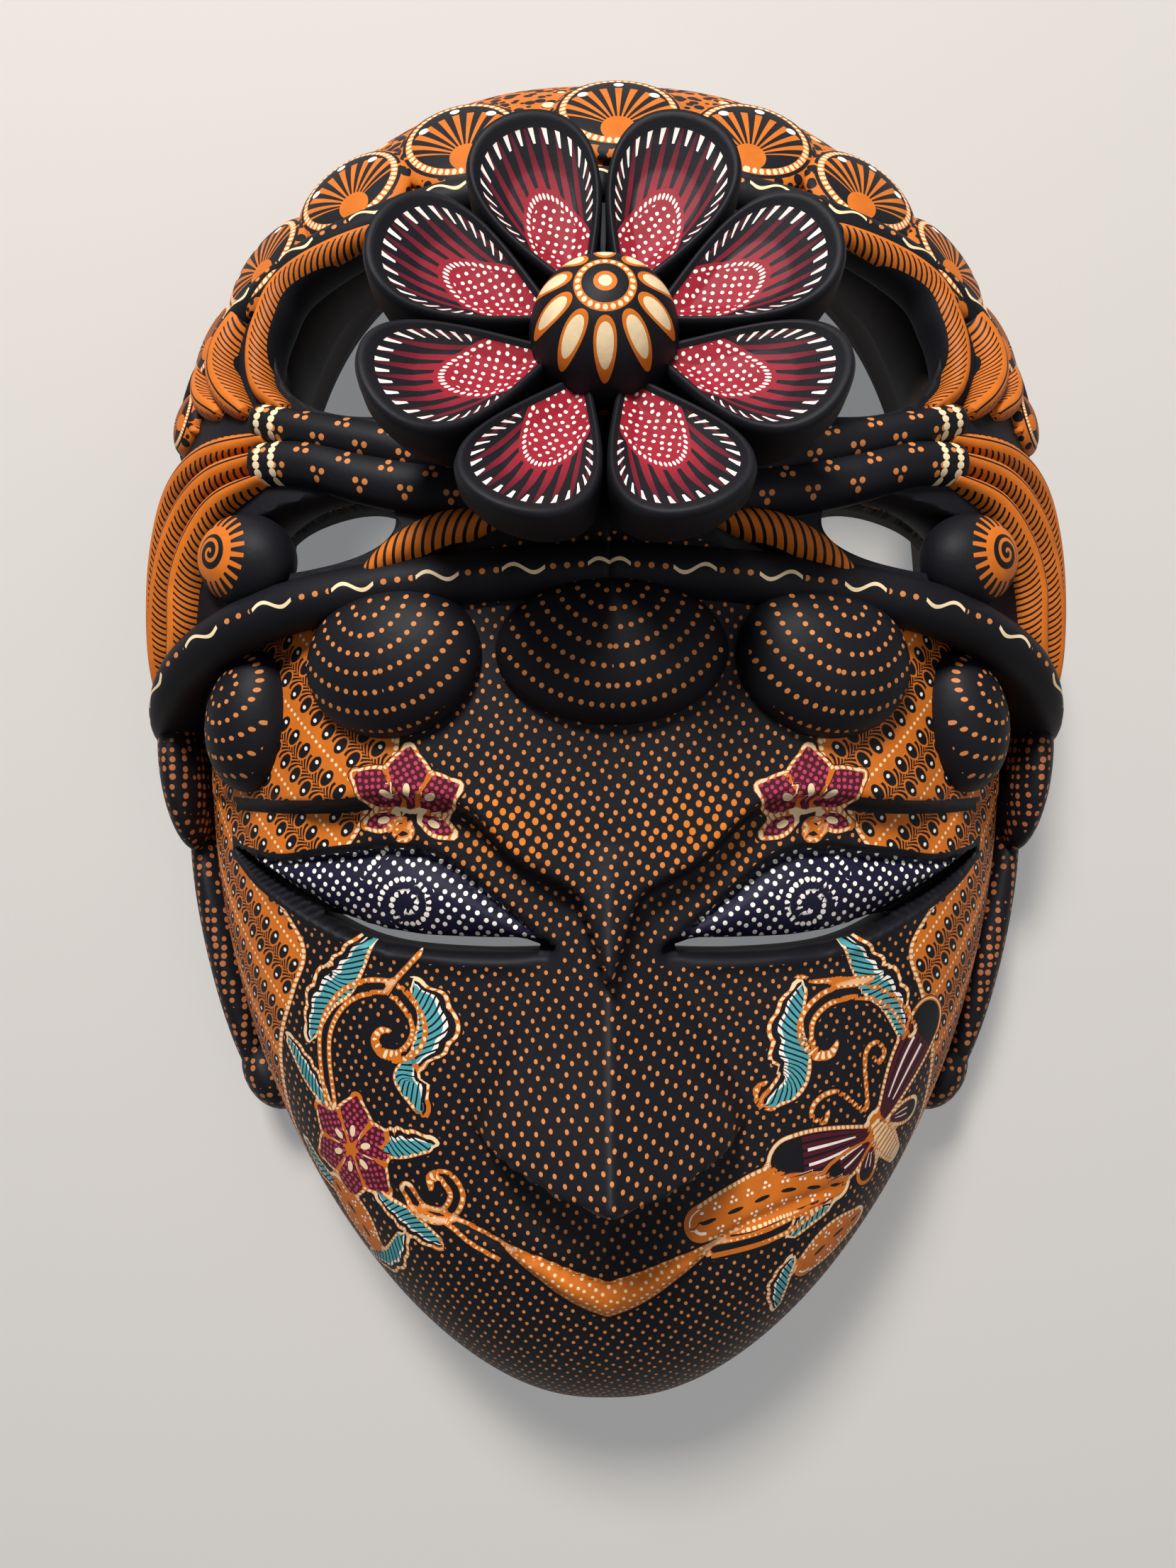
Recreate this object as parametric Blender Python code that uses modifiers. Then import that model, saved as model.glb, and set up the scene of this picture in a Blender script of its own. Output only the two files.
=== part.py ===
"""A carved wooden festival mask with an openwork headdress, lying on its rim.

The mask is carved from one block. The face looks up along +Z, the crown of the
head points along +Y and the chin along -Y. All sizes below are millimetres; the
meshes are scaled to metres when they are made.
"""

import math

import bmesh
import bpy
import numpy as np
from mathutils import Matrix, Vector

MM = 0.001

# Face shell: rim outline and the height of its dome, without the features
FACE_HALF_WIDTH = 82.0
FACE_WIDEST_Y = -4.0
CHIN_Y = -135.0
FACE_TOP_Y = 60.0
FACE_HEIGHT = 57.0
SECTION_POWER = 2.6

# Brow, eyes and eyelids
BROW_RISE = 6.2
BROW_LINE = [(0, -42), (3.5, -32), (6, -27), (15.5, -21.5), (25, -12.7), (35, -10.6)]
BROW_LINE += [(49, -11.9), (67, -11.7), (90, -9)]
UPPER_LID = [(8.7, -37.5), (18, -29.8), (28.4, -21.6), (37, -19.4), (50, -20.8), (60.3, -22.3), (70.5, -20.6)]
LOWER_LID = [(8.7, -37.6), (23.1, -37.9), (38.5, -36.9), (50, -33.3), (64, -26.1), (70.5, -20.8)]
EYE_INNER_X = 8.7
EYE_OUTER_X = 70.5
EYE_RECESS = 4.4
EYE_BULGE = 3.8
LID_RIM = 0.9
SLIT_WIDTH = 2.4
SLIT_INNER_X = 12.0
SLIT_OUTER_X = 52.0

# Nose and mouth
NOSE_ROOT_Y = -18.0
NOSE_TIP_Y = -74.5
NOSE_RISE = 27.0
NOSE_ROOT_HALF_WIDTH = 6.0
NOSE_HALF_WIDTH = 24.5
NOSE_WING = 0.3
NOSTRIL_LIFT = 8.0
MOUTH_LINE = [(0, -92.2), (6, -91), (12, -89.6), (18.4, -88.5), (28, -84.5), (42, -81), (60, -80)]
MOUTH_HALF_WIDTH = 18.4
LOWER_LIP_DROP = 7.2
UPPER_LIP_RISE = 2.0
LOWER_LIP_RISE = 2.6

# Crown: the dome that carries the headdress
CROWN_HALF_WIDTH = 91.0
CROWN_WIDEST_Y = 19.0
CROWN_TOP_Y = 135.0
CROWN_LOW_Y = -41.0
CROWN_HEIGHT = 62.0
CROWN_POWER = 2.1

# Hollow back
WALL = 10.0
HOLLOW_HALF_WIDTH = 69.0
HOLLOW_WIDEST_Y = 5.0
HOLLOW_TOP_Y = 110.0
RIM_CUT = 12.0
CUT_PAST = 30.0

# Openwork: centre, half width, half height and turn of the openings on the +X side
UPPER_OPENING = (37.5, 71.0, 22.0, 16.5, 0.0)
LOWER_OPENING = (51.0, 34.9, 15.0, 6.2, -9.0)

# Bands that edge the headdress
HEADBAND = [(0, 28), (21, 26.6), (38, 25), (56, 22), (67, 18.4), (77.6, 12.6)]
HEADBAND += [(85, 3.5), (89.5, -8), (88, -17)]
HEADBAND_HALF_WIDTH = 4.6
HEADBAND_RISE = 5.0
CROWN_BAND = [(0, 97), (23, 95.8), (50, 88.4), (64, 81.2), (76, 71.5), (85, 60), (90, 50)]
CROWN_BAND_HALF_WIDTH = 3.4
CROWN_BAND_RISE = 3.2

# Hair curls under the headband: centre x, y, half width, half height, turn in degrees
CURLS = [(0.5, 14.0, 19.5, 12.5, 0), (36.5, 12.5, 15.5, 13.0, -12), (64.5, 3.0, 9.0, 13.0, 12)]
CURL_RISE = 8.5

# Scallops that crown the head: centre x, y and radius
SCALLOPS = [(2, 113, 13), (26, 107, 12.5), (46, 98.5, 12), (63, 88, 11.5), (74, 75.5, 9.5), (79.5, 61, 6.5)]
SCALLOP_RISE = 3.2

# Leaves and arms of the openwork on the +X side: path, widest half width, rise
ARCH_LEAF = ([(40, 89.5), (55.8, 81.8), (60.2, 74.2), (61.6, 67.5), (60.4, 61.2), (56, 57)], 3.0, 4.2)
UPPER_LEAVES = [
    ([(67, 79.5), (69.8, 72.3), (69.8, 66.3), (67.5, 61.3), (64, 57.5)], 3.6, 4.2),
    ([(76, 73), (75.6, 67.5), (73.8, 62.5), (70, 58.8)], 3.2, 3.4),
    ([(80, 67.5), (79.2, 62.5), (77, 57.5)], 2.4, 2.2),
]
LOWER_LEAVES = [
    ([(60, 52.3), (72.5, 51.2), (80.5, 46), (85, 36), (86.8, 24), (87, 8)], 3.2, 3.4),
    ([(60, 49), (70, 46.5), (76.4, 41), (80.5, 33), (83, 22), (84, 8)], 3.2, 4.2),
    ([(60, 45), (68, 41.6), (73, 35.5), (76, 28), (77, 19), (79, 10)], 3.0, 4.6),
]
ARMS = [
    ([(61, 55.6), (52, 52.8), (40, 49.7), (26, 46.4), (14, 45)], 4.4, 4.4),
    ([(61, 47.8), (52, 47), (41.5, 43.8), (30, 41.6), (14, 40)], 5.2, 4.6),
]
TONGUE_LEAF = ([(18, 36.6), (27, 34.4), (35, 30.6), (41.5, 26.2)], 3.4, 5.4)
SCROLL_BALL = (63.5, 31.0, 9.6, 8.2, 5.0, 8.0)

# Flower: place over the crown, how far it stands above it, radius, tilt back, petals and boss
FLOWER_PLACE = (-1.0, 61.0)
FLOWER_STAND = 16.0
FLOWER_RADIUS = 38.5
FLOWER_TILT = 18.0
FLOWER_DEPTH = 23.0
PETALS = 8
PETAL_INNER = 6.5
PETAL_HALF_WIDTH = 13.4
PETAL_DISH = 2.8
PETAL_LIFT = 9.0
BOSS_RADIUS = 11.6
BOSS_RISE = 12.0
STEM_RADIUS = 19.0
STEM_LENGTH = 34.0

# Ears and side locks at the rim: centre x, y, z, half sizes, turn in the plan
EAR = (78.2, -42.0, 12.0, 4.6, 31.0, 10.0, 13.0)
EAR_LOBE = (69.5, -68.5, 11.5, 5.6, 8.6, 9.5, 30.0)
SIDE_LOCK = (85.0, -4.5, 19.0, 4.6, 17.5, 12.0, 6.0)

# Sculpting resolution of the one solid
VOXEL = 1.3
SMOOTHING_PASSES = 3
TRIANGLES_KEPT = 9400


def smoothstep(low, high, value):
    share = np.clip((value - low) / (high - low), 0.0, 1.0)
    return share * share * (3.0 - 2.0 * share)


def spline(points, samples):
    """A smooth line through the points, with evenly spaced samples."""
    given = np.array(points, float)
    padded = np.vstack([2 * given[0] - given[1], given, 2 * given[-1] - given[-2]])
    fine = []
    for a, b, c, d in zip(padded, padded[1:], padded[2:], padded[3:]):
        t = np.linspace(0, 1, 24, endpoint=False)[:, None]
        fine.append(b + 0.5 * t * (c - a + t * (2 * a - 5 * b + 4 * c - d + t * (3 * (b - c) + d - a))))
    fine = np.vstack([*fine, given[-1]])
    walked = np.concatenate([[0], np.cumsum(np.linalg.norm(np.diff(fine, axis=0), axis=1))])
    at = np.linspace(0, walked[-1], samples)
    return np.stack([np.interp(at, walked, column) for column in fine.T], axis=1)


def height_of_line(points, x):
    """The y of a line drawn through points on the +X side, mirrored to -X."""
    drawn = spline(points, 120)
    return np.interp(np.abs(x), drawn[:, 0], drawn[:, 1])


def rounded(share, power):
    return (1.0 - np.clip(np.abs(share), 0, 1) ** power) ** (1.0 / power)


def face_half_width(y):
    below = (1.0 - np.clip((FACE_WIDEST_Y - y) / (FACE_WIDEST_Y - CHIN_Y), 0, 1) ** 2) ** 0.625
    above = rounded(np.clip((y - FACE_WIDEST_Y) / (FACE_TOP_Y - FACE_WIDEST_Y), 0, 1), 2.4)
    return FACE_HALF_WIDTH * np.where(y < FACE_WIDEST_Y, below, above)


def face_centre_height(y):
    reach = np.where(y < FACE_WIDEST_Y, FACE_WIDEST_Y - CHIN_Y, FACE_TOP_Y - FACE_WIDEST_Y)
    return FACE_HEIGHT * np.sqrt(1.0 - np.clip(np.abs(y - FACE_WIDEST_Y) / reach, 0, 1) ** 6)


def nose_height(x, y):
    along = np.clip((NOSE_ROOT_Y - y) / (NOSE_ROOT_Y - NOSE_TIP_Y), 0, 1.1)
    half = NOSE_ROOT_HALF_WIDTH + (NOSE_HALF_WIDTH - NOSE_ROOT_HALF_WIDTH) * smoothstep(0.1, 0.92, along)
    across = np.clip(1.0 - np.abs(x) / half, 0, 1)
    wing = smoothstep(0.0, 0.35, across) * NOSE_WING * smoothstep(0.5, 0.95, along)
    edge = NOSE_TIP_Y + NOSTRIL_LIFT * (x / NOSE_HALF_WIDTH) ** 2
    tip = smoothstep(edge - 1.3, edge + 0.5, y)
    return NOSE_RISE * along ** 1.15 * (across ** 1.05 * (1.0 - NOSE_WING) + wing) * tip


def eye_depth(x, y):
    """How far the eye opening is sunk below the face, and its ball raised in it."""
    upper = height_of_line(UPPER_LID, x)
    lower = height_of_line(LOWER_LID, x)
    width = np.abs(x)
    inside = smoothstep(EYE_INNER_X - 0.5, EYE_INNER_X + 1.5, width)
    inside *= smoothstep(EYE_OUTER_X + 0.5, EYE_OUTER_X - 1.5, width)
    inside *= smoothstep(upper + 0.4, upper - 0.4, y) * smoothstep(lower - 0.4, lower + 0.4, y)
    middle = (upper + lower + SLIT_WIDTH) / 2
    half = np.maximum((upper - lower - SLIT_WIDTH) / 2, 0.8)
    ball = EYE_BULGE * np.clip(1.0 - ((y - middle) / half) ** 2, 0, 1)
    groove = 2.4 * smoothstep(lower + SLIT_WIDTH + 0.3, lower + SLIT_WIDTH - 0.5, y)
    rim = LID_RIM * np.exp(-(((y - lower + 1.2) / 1.3) ** 2))
    rim *= smoothstep(EYE_OUTER_X, 55, width) * smoothstep(EYE_INNER_X, 20, width)
    return inside * (ball - EYE_RECESS - groove) + rim


def lip_height(x, y):
    mouth = height_of_line(MOUTH_LINE, x)
    across = np.abs(x) / MOUTH_HALF_WIDTH
    open_part = smoothstep(1.35, 0.6, across)
    upper = UPPER_LIP_RISE * smoothstep(mouth - 0.4, mouth + 0.4, y) * smoothstep(mouth + 13, mouth + 1, y)
    bottom = mouth - (LOWER_LIP_DROP * np.clip(1.0 - across ** 2, 0, 1) + 0.3)
    half = (mouth - bottom) / 2
    lower = np.clip(1.0 - ((y - (mouth + bottom) / 2) / np.maximum(half, 0.2)) ** 2, 0, 1) ** 0.7
    crease = -0.9 * np.exp(-(((y - mouth) / 1.1) ** 2))
    crease *= smoothstep(0.8, 1.1, across) * smoothstep(2.6, 1.9, across)
    return upper * open_part + LOWER_LIP_RISE * lower * smoothstep(1.0, 0.7, across) + crease


def face_height(x, y):
    """Height of the carved face over the rim plane."""
    share = x / np.maximum(face_half_width(y), 1e-6)
    base = face_centre_height(y) * rounded(share, SECTION_POWER)
    edge_fade = smoothstep(1.0, 0.9, np.abs(share))
    brow = height_of_line(BROW_LINE, x)
    fade = 1.0 - 0.65 * smoothstep(48, 66, np.abs(x))
    forehead = BROW_RISE * smoothstep(brow - 0.8, brow + 0.8, y) * fade
    return base + edge_fade * (forehead + nose_height(x, y) + eye_depth(x, y) + lip_height(x, y))


def crown_height(x, y):
    reach = np.where(y < CROWN_WIDEST_Y, CROWN_WIDEST_Y - CROWN_LOW_Y, CROWN_TOP_Y - CROWN_WIDEST_Y)
    up = np.clip(np.abs(y - CROWN_WIDEST_Y) / reach, 0, 1)
    half = CROWN_HALF_WIDTH * rounded(up, CROWN_POWER)
    return CROWN_HEIGHT * rounded(up, 2.6) * rounded(x / np.maximum(half, 1e-6), 2.8)


def crown_half_width(y):
    reach = np.where(y < CROWN_WIDEST_Y, CROWN_WIDEST_Y - CROWN_LOW_Y, CROWN_TOP_Y - CROWN_WIDEST_Y)
    return CROWN_HALF_WIDTH * rounded(np.abs(y - CROWN_WIDEST_Y) / reach, CROWN_POWER)


def hollow_half_width(y):
    low = CHIN_Y + WALL + 2
    below = (1.0 - np.clip((HOLLOW_WIDEST_Y - y) / (HOLLOW_WIDEST_Y - low), 0, 1) ** 2) ** 0.625
    above = rounded(np.clip((y - HOLLOW_WIDEST_Y) / (HOLLOW_TOP_Y - HOLLOW_WIDEST_Y), 0, 1), 3.0)
    return HOLLOW_HALF_WIDTH * np.where(y < HOLLOW_WIDEST_Y, below, above)


def hollow_height(x, y):
    low = CHIN_Y + WALL + 2
    reach = np.where(y < HOLLOW_WIDEST_Y, HOLLOW_WIDEST_Y - low, HOLLOW_TOP_Y - HOLLOW_WIDEST_Y)
    up = np.clip(np.abs(y - HOLLOW_WIDEST_Y) / reach, 0, 1)
    share = x / np.maximum(hollow_half_width(y), 1e-6)
    return (FACE_HEIGHT - WALL) * rounded(up, 3.4) * rounded(share, 2.6)


def normal_on(height, x, y):
    """Outward normal of a dome at a point, kept a little short of level."""
    step = 0.4
    slope_x = (height(x + step, y) - height(x - step, y)) / (2 * step)
    slope_y = (height(x, y + step) - height(x, y - step)) / (2 * step)
    steep = math.hypot(slope_x, slope_y)
    limit = min(1.0, 2.4 / max(steep, 1e-6))
    return Vector((-slope_x * limit, -slope_y * limit, 1.0)).normalized()


def new_object(name, mesh, collection):
    mesh.update()
    made = bpy.data.objects.new(name, mesh)
    collection.objects.link(made)
    return made


def object_from_bmesh(name, shape, collection):
    bmesh.ops.recalc_face_normals(shape, faces=shape.faces)
    bmesh.ops.scale(shape, vec=(MM, MM, MM), verts=shape.verts)
    mesh = bpy.data.meshes.new(name)
    shape.to_mesh(mesh)
    shape.free()
    return new_object(name, mesh, collection)


def dome(name, half_width, height, low_y, high_y, segments, foot, collection):
    """A closed dome: a grid bent over height(x, y), with a flat foot below it."""
    shape = bmesh.new()
    bmesh.ops.create_grid(shape, x_segments=segments, y_segments=segments, size=1.0)
    s, t = np.array([v.co[:2] for v in shape.verts]).T
    p, q = s * np.sqrt(1 - t * t / 2), t * np.sqrt(1 - s * s / 2)
    radius = np.sqrt(p * p + q * q)
    spread = np.sin(radius * math.pi / 2) / np.maximum(radius, 1e-9)
    p, q = p * spread, q * spread
    y = (low_y + high_y) / 2 + q * (high_y - low_y) / 2
    x = p / np.sqrt(np.maximum(1 - q * q, 1e-9)) * half_width(y)
    edge = radius > 1 - 1e-6
    x = np.where(edge, np.sign(p) * np.where(np.abs(p) < 1e-6, 0, half_width(y)), x)
    z = np.where(edge, 0.0, height(x, y))
    for vertex, place in zip(shape.verts, zip(x, y, z)):
        vertex.co = place
    border = [e for e in shape.edges if e.is_boundary]
    skirt = bmesh.ops.extrude_edge_only(shape, edges=border)["geom"]
    lowered = [v for v in skirt if isinstance(v, bmesh.types.BMVert)]
    for vertex in lowered:
        vertex.co.z = -foot
    bmesh.ops.contextual_create(shape, geom=[e for e in shape.edges if e.is_boundary])
    return object_from_bmesh(name, shape, collection)


def loft(name, rings, collection):
    """A closed solid through rings of equally many points."""
    shape = bmesh.new()
    rows = [[shape.verts.new(point) for point in ring] for ring in rings]
    for low, high in zip(rows, rows[1:]):
        for i in range(len(low)):
            j = (i + 1) % len(low)
            shape.faces.new((low[i], low[j], high[j], high[i]))
    shape.faces.new(rows[0])
    shape.faces.new(rows[-1])
    return object_from_bmesh(name, shape, collection)


def ridge(name, form, taper, mirror, collection, sink=5.0):
    """A rounded ridge along a path over the crown. taper gives its width at each share of its length."""
    path, half_width, rise = form
    side = -1 if mirror else 1
    line = spline(path, 30)
    rings = []
    for index, (x, y) in enumerate(line):
        share = index / (len(line) - 1)
        ahead = line[min(index + 1, len(line) - 1)] - line[max(index - 1, 0)]
        up = normal_on(crown_height, x * side, y)
        place = Vector((x * side, y, float(crown_height(np.float64(x * side), np.float64(y)))))
        across = up.cross(Vector((ahead[0] * side, ahead[1], 0))).normalized()
        size = max(taper(share), 0.05)
        ring = []
        for turn in np.linspace(0, 2 * math.pi, 14, endpoint=False):
            tall = rise * size ** 0.6 if math.sin(turn) > 0 else sink
            aside = half_width * size * math.cos(turn)
            ring.append(place + across * aside + up * (tall * math.sin(turn)))
        rings.append(ring)
    return loft(name, rings, collection)


def leaf_taper(share):
    return math.sin(math.pi * (0.06 + 0.88 * share)) ** 0.6


def arm_taper(share):
    return 0.72 + 0.28 * share


def band_taper(share):
    return 1.0 - 0.3 * share ** 3


def lump(name, place, sizes, turn, up, collection):
    """An ellipsoid with half sizes along its own axes, its third axis along up, turned about it."""
    shape = bmesh.new()
    bmesh.ops.create_uvsphere(shape, u_segments=28, v_segments=16, radius=1.0)
    across = Vector((0, 1, 0)).cross(up).normalized()
    axes = Matrix((across, up.cross(across), up)).transposed().to_4x4()
    turned = axes @ Matrix.Rotation(math.radians(turn), 4, "Z")
    sized = Matrix.Translation(place) @ turned @ Matrix.Diagonal((*sizes, 1.0))
    bmesh.ops.transform(shape, matrix=sized, verts=shape.verts)
    return object_from_bmesh(name, shape, collection)


def lump_on(name, height, x, y, sizes, turn, collection):
    up = normal_on(height, x, y)
    place = Vector((x, y, float(height(np.float64(x), np.float64(y)))))
    return lump(name, place, sizes, turn, up, collection)


def petal_outline(count):
    """Points round one petal: distance out from the flower's centre, and across."""
    turn = np.linspace(0, 2 * math.pi, count, endpoint=False)
    out = (1 - np.cos(turn)) / 2
    across = np.sin(turn) * (0.06 + 0.94 * out) ** 0.8 * 1.12
    return np.stack([PETAL_INNER + (FLOWER_RADIUS - PETAL_INNER) * out, PETAL_HALF_WIDTH * across], axis=1)


def petal(index, frame, collection):
    """One petal: a dished face with a round rim, on a wall that narrows down to the stem."""
    outline = petal_outline(28)
    middle = np.array([(FLOWER_RADIUS + PETAL_INNER) * 0.5, 0.0])
    profile = [(0.1, -PETAL_DISH), (0.5, -0.85 * PETAL_DISH), (0.8, -0.35 * PETAL_DISH), (0.91, 0.0)]
    profile += [(0.97, -0.3), (1.0, -1.8), (0.99, -6.0), (0.86, -0.62 * FLOWER_DEPTH), (0.62, -FLOWER_DEPTH)]
    turn = Matrix.Rotation(2 * math.pi * (index + 0.5) / PETALS, 4, "Z")
    rings = []
    for share, drop in profile:
        inward = 1.0 - 0.3 * smoothstep(0.3, 1.0, -drop / FLOWER_DEPTH)
        flat = (middle + (outline - middle) * share) * [inward, 1.0]
        raised = PETAL_LIFT * (flat[:, 0] / FLOWER_RADIUS) ** 1.5
        rings.append([frame @ turn @ Vector((a, b, drop + lift)) for (a, b), lift in zip(flat, raised)])
    return loft(f"petal_{index + 1}", rings, collection)


def flower(collection):
    centre = Matrix.Translation((*FLOWER_PLACE, CROWN_HEIGHT + FLOWER_STAND))
    frame = centre @ Matrix.Rotation(math.radians(-FLOWER_TILT), 4, "X")
    for index in range(PETALS):
        petal(index, frame, collection)
    axis = (frame.to_3x3() @ Vector((0, 0, 1))).normalized()
    lump("boss", frame.translation, (BOSS_RADIUS, BOSS_RADIUS, BOSS_RISE), 0, axis, collection)
    shape = bmesh.new()
    wide, narrow = STEM_RADIUS + 3, STEM_RADIUS - 6
    bmesh.ops.create_cone(shape, cap_ends=True, segments=32, radius1=wide, radius2=narrow, depth=STEM_LENGTH)
    sunk = frame @ Matrix.Translation((0, 0, -7 - STEM_LENGTH / 2))
    bmesh.ops.transform(shape, matrix=sunk, verts=shape.verts)
    object_from_bmesh("stem", shape, collection)


def openwork(collection):
    """Leaves, arms, scroll balls and tongues on both sides of the flower."""
    for mirror in (False, True):
        side = "left" if mirror else "right"
        sign = -1 if mirror else 1
        leaves = [ARCH_LEAF, *UPPER_LEAVES, *LOWER_LEAVES, TONGUE_LEAF]
        for number, leaf in enumerate(leaves):
            ridge(f"leaf_{side}_{number}", leaf, leaf_taper, mirror, collection)
        for number, arm in enumerate(ARMS):
            ridge(f"arm_{side}_{number}", arm, arm_taper, mirror, collection)
        x, y, wide, tall, lift, turn = SCROLL_BALL
        up = normal_on(crown_height, sign * x, y)
        place = Vector((sign * x, y, float(crown_height(np.float64(x), np.float64(y)))))
        lump(f"scroll_{side}", place, (wide, tall, lift + 2), sign * turn, up, collection)


def curls_and_scallops(collection):
    for number, (x, y, wide, tall, turn) in enumerate(CURLS):
        sizes = (wide, tall, CURL_RISE)
        for sign in (1, -1) if number else (1,):
            lump_on(f"curl_{number}_{sign}", face_height, sign * x, y, sizes, sign * turn, collection)
    for number, (x, y, radius) in enumerate(SCALLOPS):
        sizes = (radius, radius, SCALLOP_RISE)
        for sign in (1, -1) if number else (1,):
            lump_on(f"scallop_{number}_{sign}", crown_height, sign * x, y, sizes, 0, collection)


def bands(collection):
    headband = (HEADBAND, HEADBAND_HALF_WIDTH, HEADBAND_RISE)
    crown_band = (CROWN_BAND, CROWN_BAND_HALF_WIDTH, CROWN_BAND_RISE)
    for mirror in (False, True):
        side = "left" if mirror else "right"
        ridge(f"headband_{side}", headband, band_taper, mirror, collection, sink=6.0)
        ridge(f"crown_band_{side}", crown_band, band_taper, mirror, collection, sink=4.0)


def ears(collection):
    up = Vector((0, 0, 1))
    for sign in (1, -1):
        for name, form in (("ear", EAR), ("lobe", EAR_LOBE), ("lock", SIDE_LOCK)):
            x, y, z, thick, long, deep, turn = form
            place = Vector((sign * x, y, z))
            lump(f"{name}_{sign}", place, (thick, long, deep), -sign * turn, up, collection)


def prism(name, outline, low, high, collection):
    """A flat outline pulled through from low to high."""
    shape = bmesh.new()
    base = shape.faces.new([shape.verts.new((x, y, low)) for x, y in outline])
    raised = bmesh.ops.extrude_face_region(shape, geom=[base])["geom"]
    for item in raised:
        if isinstance(item, bmesh.types.BMVert):
            item.co.z = high
    return object_from_bmesh(name, shape, collection)


def opening_outline(opening, sign):
    x, y, wide, tall, turn = opening
    angle = np.linspace(0, 2 * math.pi, 40, endpoint=False)
    a = wide * np.sign(np.cos(angle)) * np.abs(np.cos(angle)) ** 0.85
    b = tall * np.sign(np.sin(angle)) * np.abs(np.sin(angle)) ** 0.85
    cosine, sine = math.cos(math.radians(turn)), math.sin(math.radians(turn))
    return [(sign * (x + u * cosine - v * sine), y + u * sine + v * cosine) for u, v in zip(a, b)]


def slit_outline(sign):
    x = np.linspace(SLIT_INNER_X, SLIT_OUTER_X, 24)
    low = height_of_line(LOWER_LID, x) + 0.1
    wide = SLIT_WIDTH * np.clip(np.minimum((x - SLIT_INNER_X + 2) / 6, (SLIT_OUTER_X - x + 2) / 8), 0.35, 1)
    lower = [(sign * a, b) for a, b in zip(x, low)]
    upper = [(sign * a, b + c) for a, b, c in zip(x, low, wide)]
    return lower + upper[::-1]


def below_headband_outline():
    outer = (CROWN_HALF_WIDTH + HEADBAND_HALF_WIDTH, HEADBAND[-1][1] - HEADBAND_HALF_WIDTH)
    line = spline(HEADBAND[:-1] + [outer], 30)
    wide = CROWN_HALF_WIDTH + CUT_PAST
    across = [(-x, y) for x, y in line[::-1]] + [(x, y) for x, y in line[1:]]
    return across + [(wide, CHIN_Y), (-wide, CHIN_Y)]


def cutters(collection):
    low = CHIN_Y + WALL + 2
    dome("hollow", hollow_half_width, hollow_height, low, HOLLOW_TOP_Y, 40, RIM_CUT + 4, collection)
    made = []
    top = CROWN_HEIGHT + CUT_PAST
    for sign in (1, -1):
        outlines = {"upper_opening": opening_outline(UPPER_OPENING, sign)}
        outlines["lower_opening"] = opening_outline(LOWER_OPENING, sign)
        outlines["eye_slit"] = slit_outline(sign)
        for name, outline in outlines.items():
            made.append(prism(f"{name}_{sign}", outline, -CUT_PAST, top, collection))
    return made


def cut(target, cutter, operation="DIFFERENCE"):
    modifier = target.modifiers.new(cutter.name, "BOOLEAN")
    modifier.operation = operation
    modifier.solver = "EXACT"
    modifier.object = cutter


def baked(objects, name, collection):
    """One mesh that holds the evaluated meshes of several objects."""
    graph = bpy.context.evaluated_depsgraph_get()
    shape = bmesh.new()
    for item in objects:
        mesh = bpy.data.meshes.new_from_object(item.evaluated_get(graph))
        mesh.transform(item.matrix_world)
        shape.from_mesh(mesh)
        bpy.data.meshes.remove(mesh)
    mesh = bpy.data.meshes.new(name)
    shape.to_mesh(mesh)
    shape.free()
    return new_object(name, mesh, collection)


def painted_wood():
    material = bpy.data.materials.new("painted_wood")
    material.use_nodes = True
    shader = material.node_tree.nodes["Principled BSDF"]
    shader.inputs["Base Color"].default_value = (0.018, 0.016, 0.02, 1.0)
    shader.inputs["Roughness"].default_value = 0.55
    shader.inputs["Metallic"].default_value = 0.0
    return material


def helper_collection(name):
    made = bpy.data.collections.new(name)
    bpy.context.scene.collection.children.link(made)
    return made


def main():
    for item in list(bpy.data.objects):
        bpy.data.objects.remove(item)
    finished = helper_collection("wooden_mask")
    forms = helper_collection("forms")
    tools = helper_collection("cutters")

    face = dome("face", face_half_width, face_height, CHIN_Y, FACE_TOP_Y, 150, RIM_CUT, forms)
    crown = dome("crown", crown_half_width, crown_height, CROWN_LOW_Y, CROWN_TOP_Y, 60, RIM_CUT, forms)
    top = CROWN_HEIGHT + CUT_PAST
    cut(crown, prism("below_headband", below_headband_outline(), -CUT_PAST, top, tools))
    for cutter in cutters(tools):
        cut(face, cutter)
        cut(crown, cutter)
    bands(forms)
    curls_and_scallops(forms)
    openwork(forms)
    flower(forms)
    ears(forms)
    for form in forms.objects:
        cut(form, tools.objects["hollow"])
    bpy.context.view_layer.update()

    mask = baked(list(forms.objects), "mask", finished)
    remesh = mask.modifiers.new("one_block", "REMESH")
    remesh.mode = "VOXEL"
    remesh.voxel_size = VOXEL * MM
    soften = mask.modifiers.new("worn_edges", "SMOOTH")
    soften.factor = 0.5
    soften.iterations = int(SMOOTHING_PASSES)
    bpy.context.view_layer.update()
    carved = baked([mask], "mask_carved", tools)
    carved.data.calc_loop_triangles()
    count = len(carved.data.loop_triangles)
    thin = mask.modifiers.new("fewer_faces", "DECIMATE")
    thin.ratio = TRIANGLES_KEPT / count
    wide = CROWN_HALF_WIDTH + CUT_PAST
    low = CHIN_Y - CUT_PAST
    high = CROWN_TOP_Y + CUT_PAST
    corners = [(-wide, low), (wide, low), (wide, high), (-wide, high)]
    cut(mask, prism("below_rim", corners, -RIM_CUT - CUT_PAST, 0, tools))
    mask.data.materials.append(painted_wood())
    mask.data.shade_smooth()
    for collection in (forms, tools):
        collection.hide_render = True
        for item in collection.objects:
            item.hide_render = True
            item.display_type = "WIRE"


main()
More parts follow.
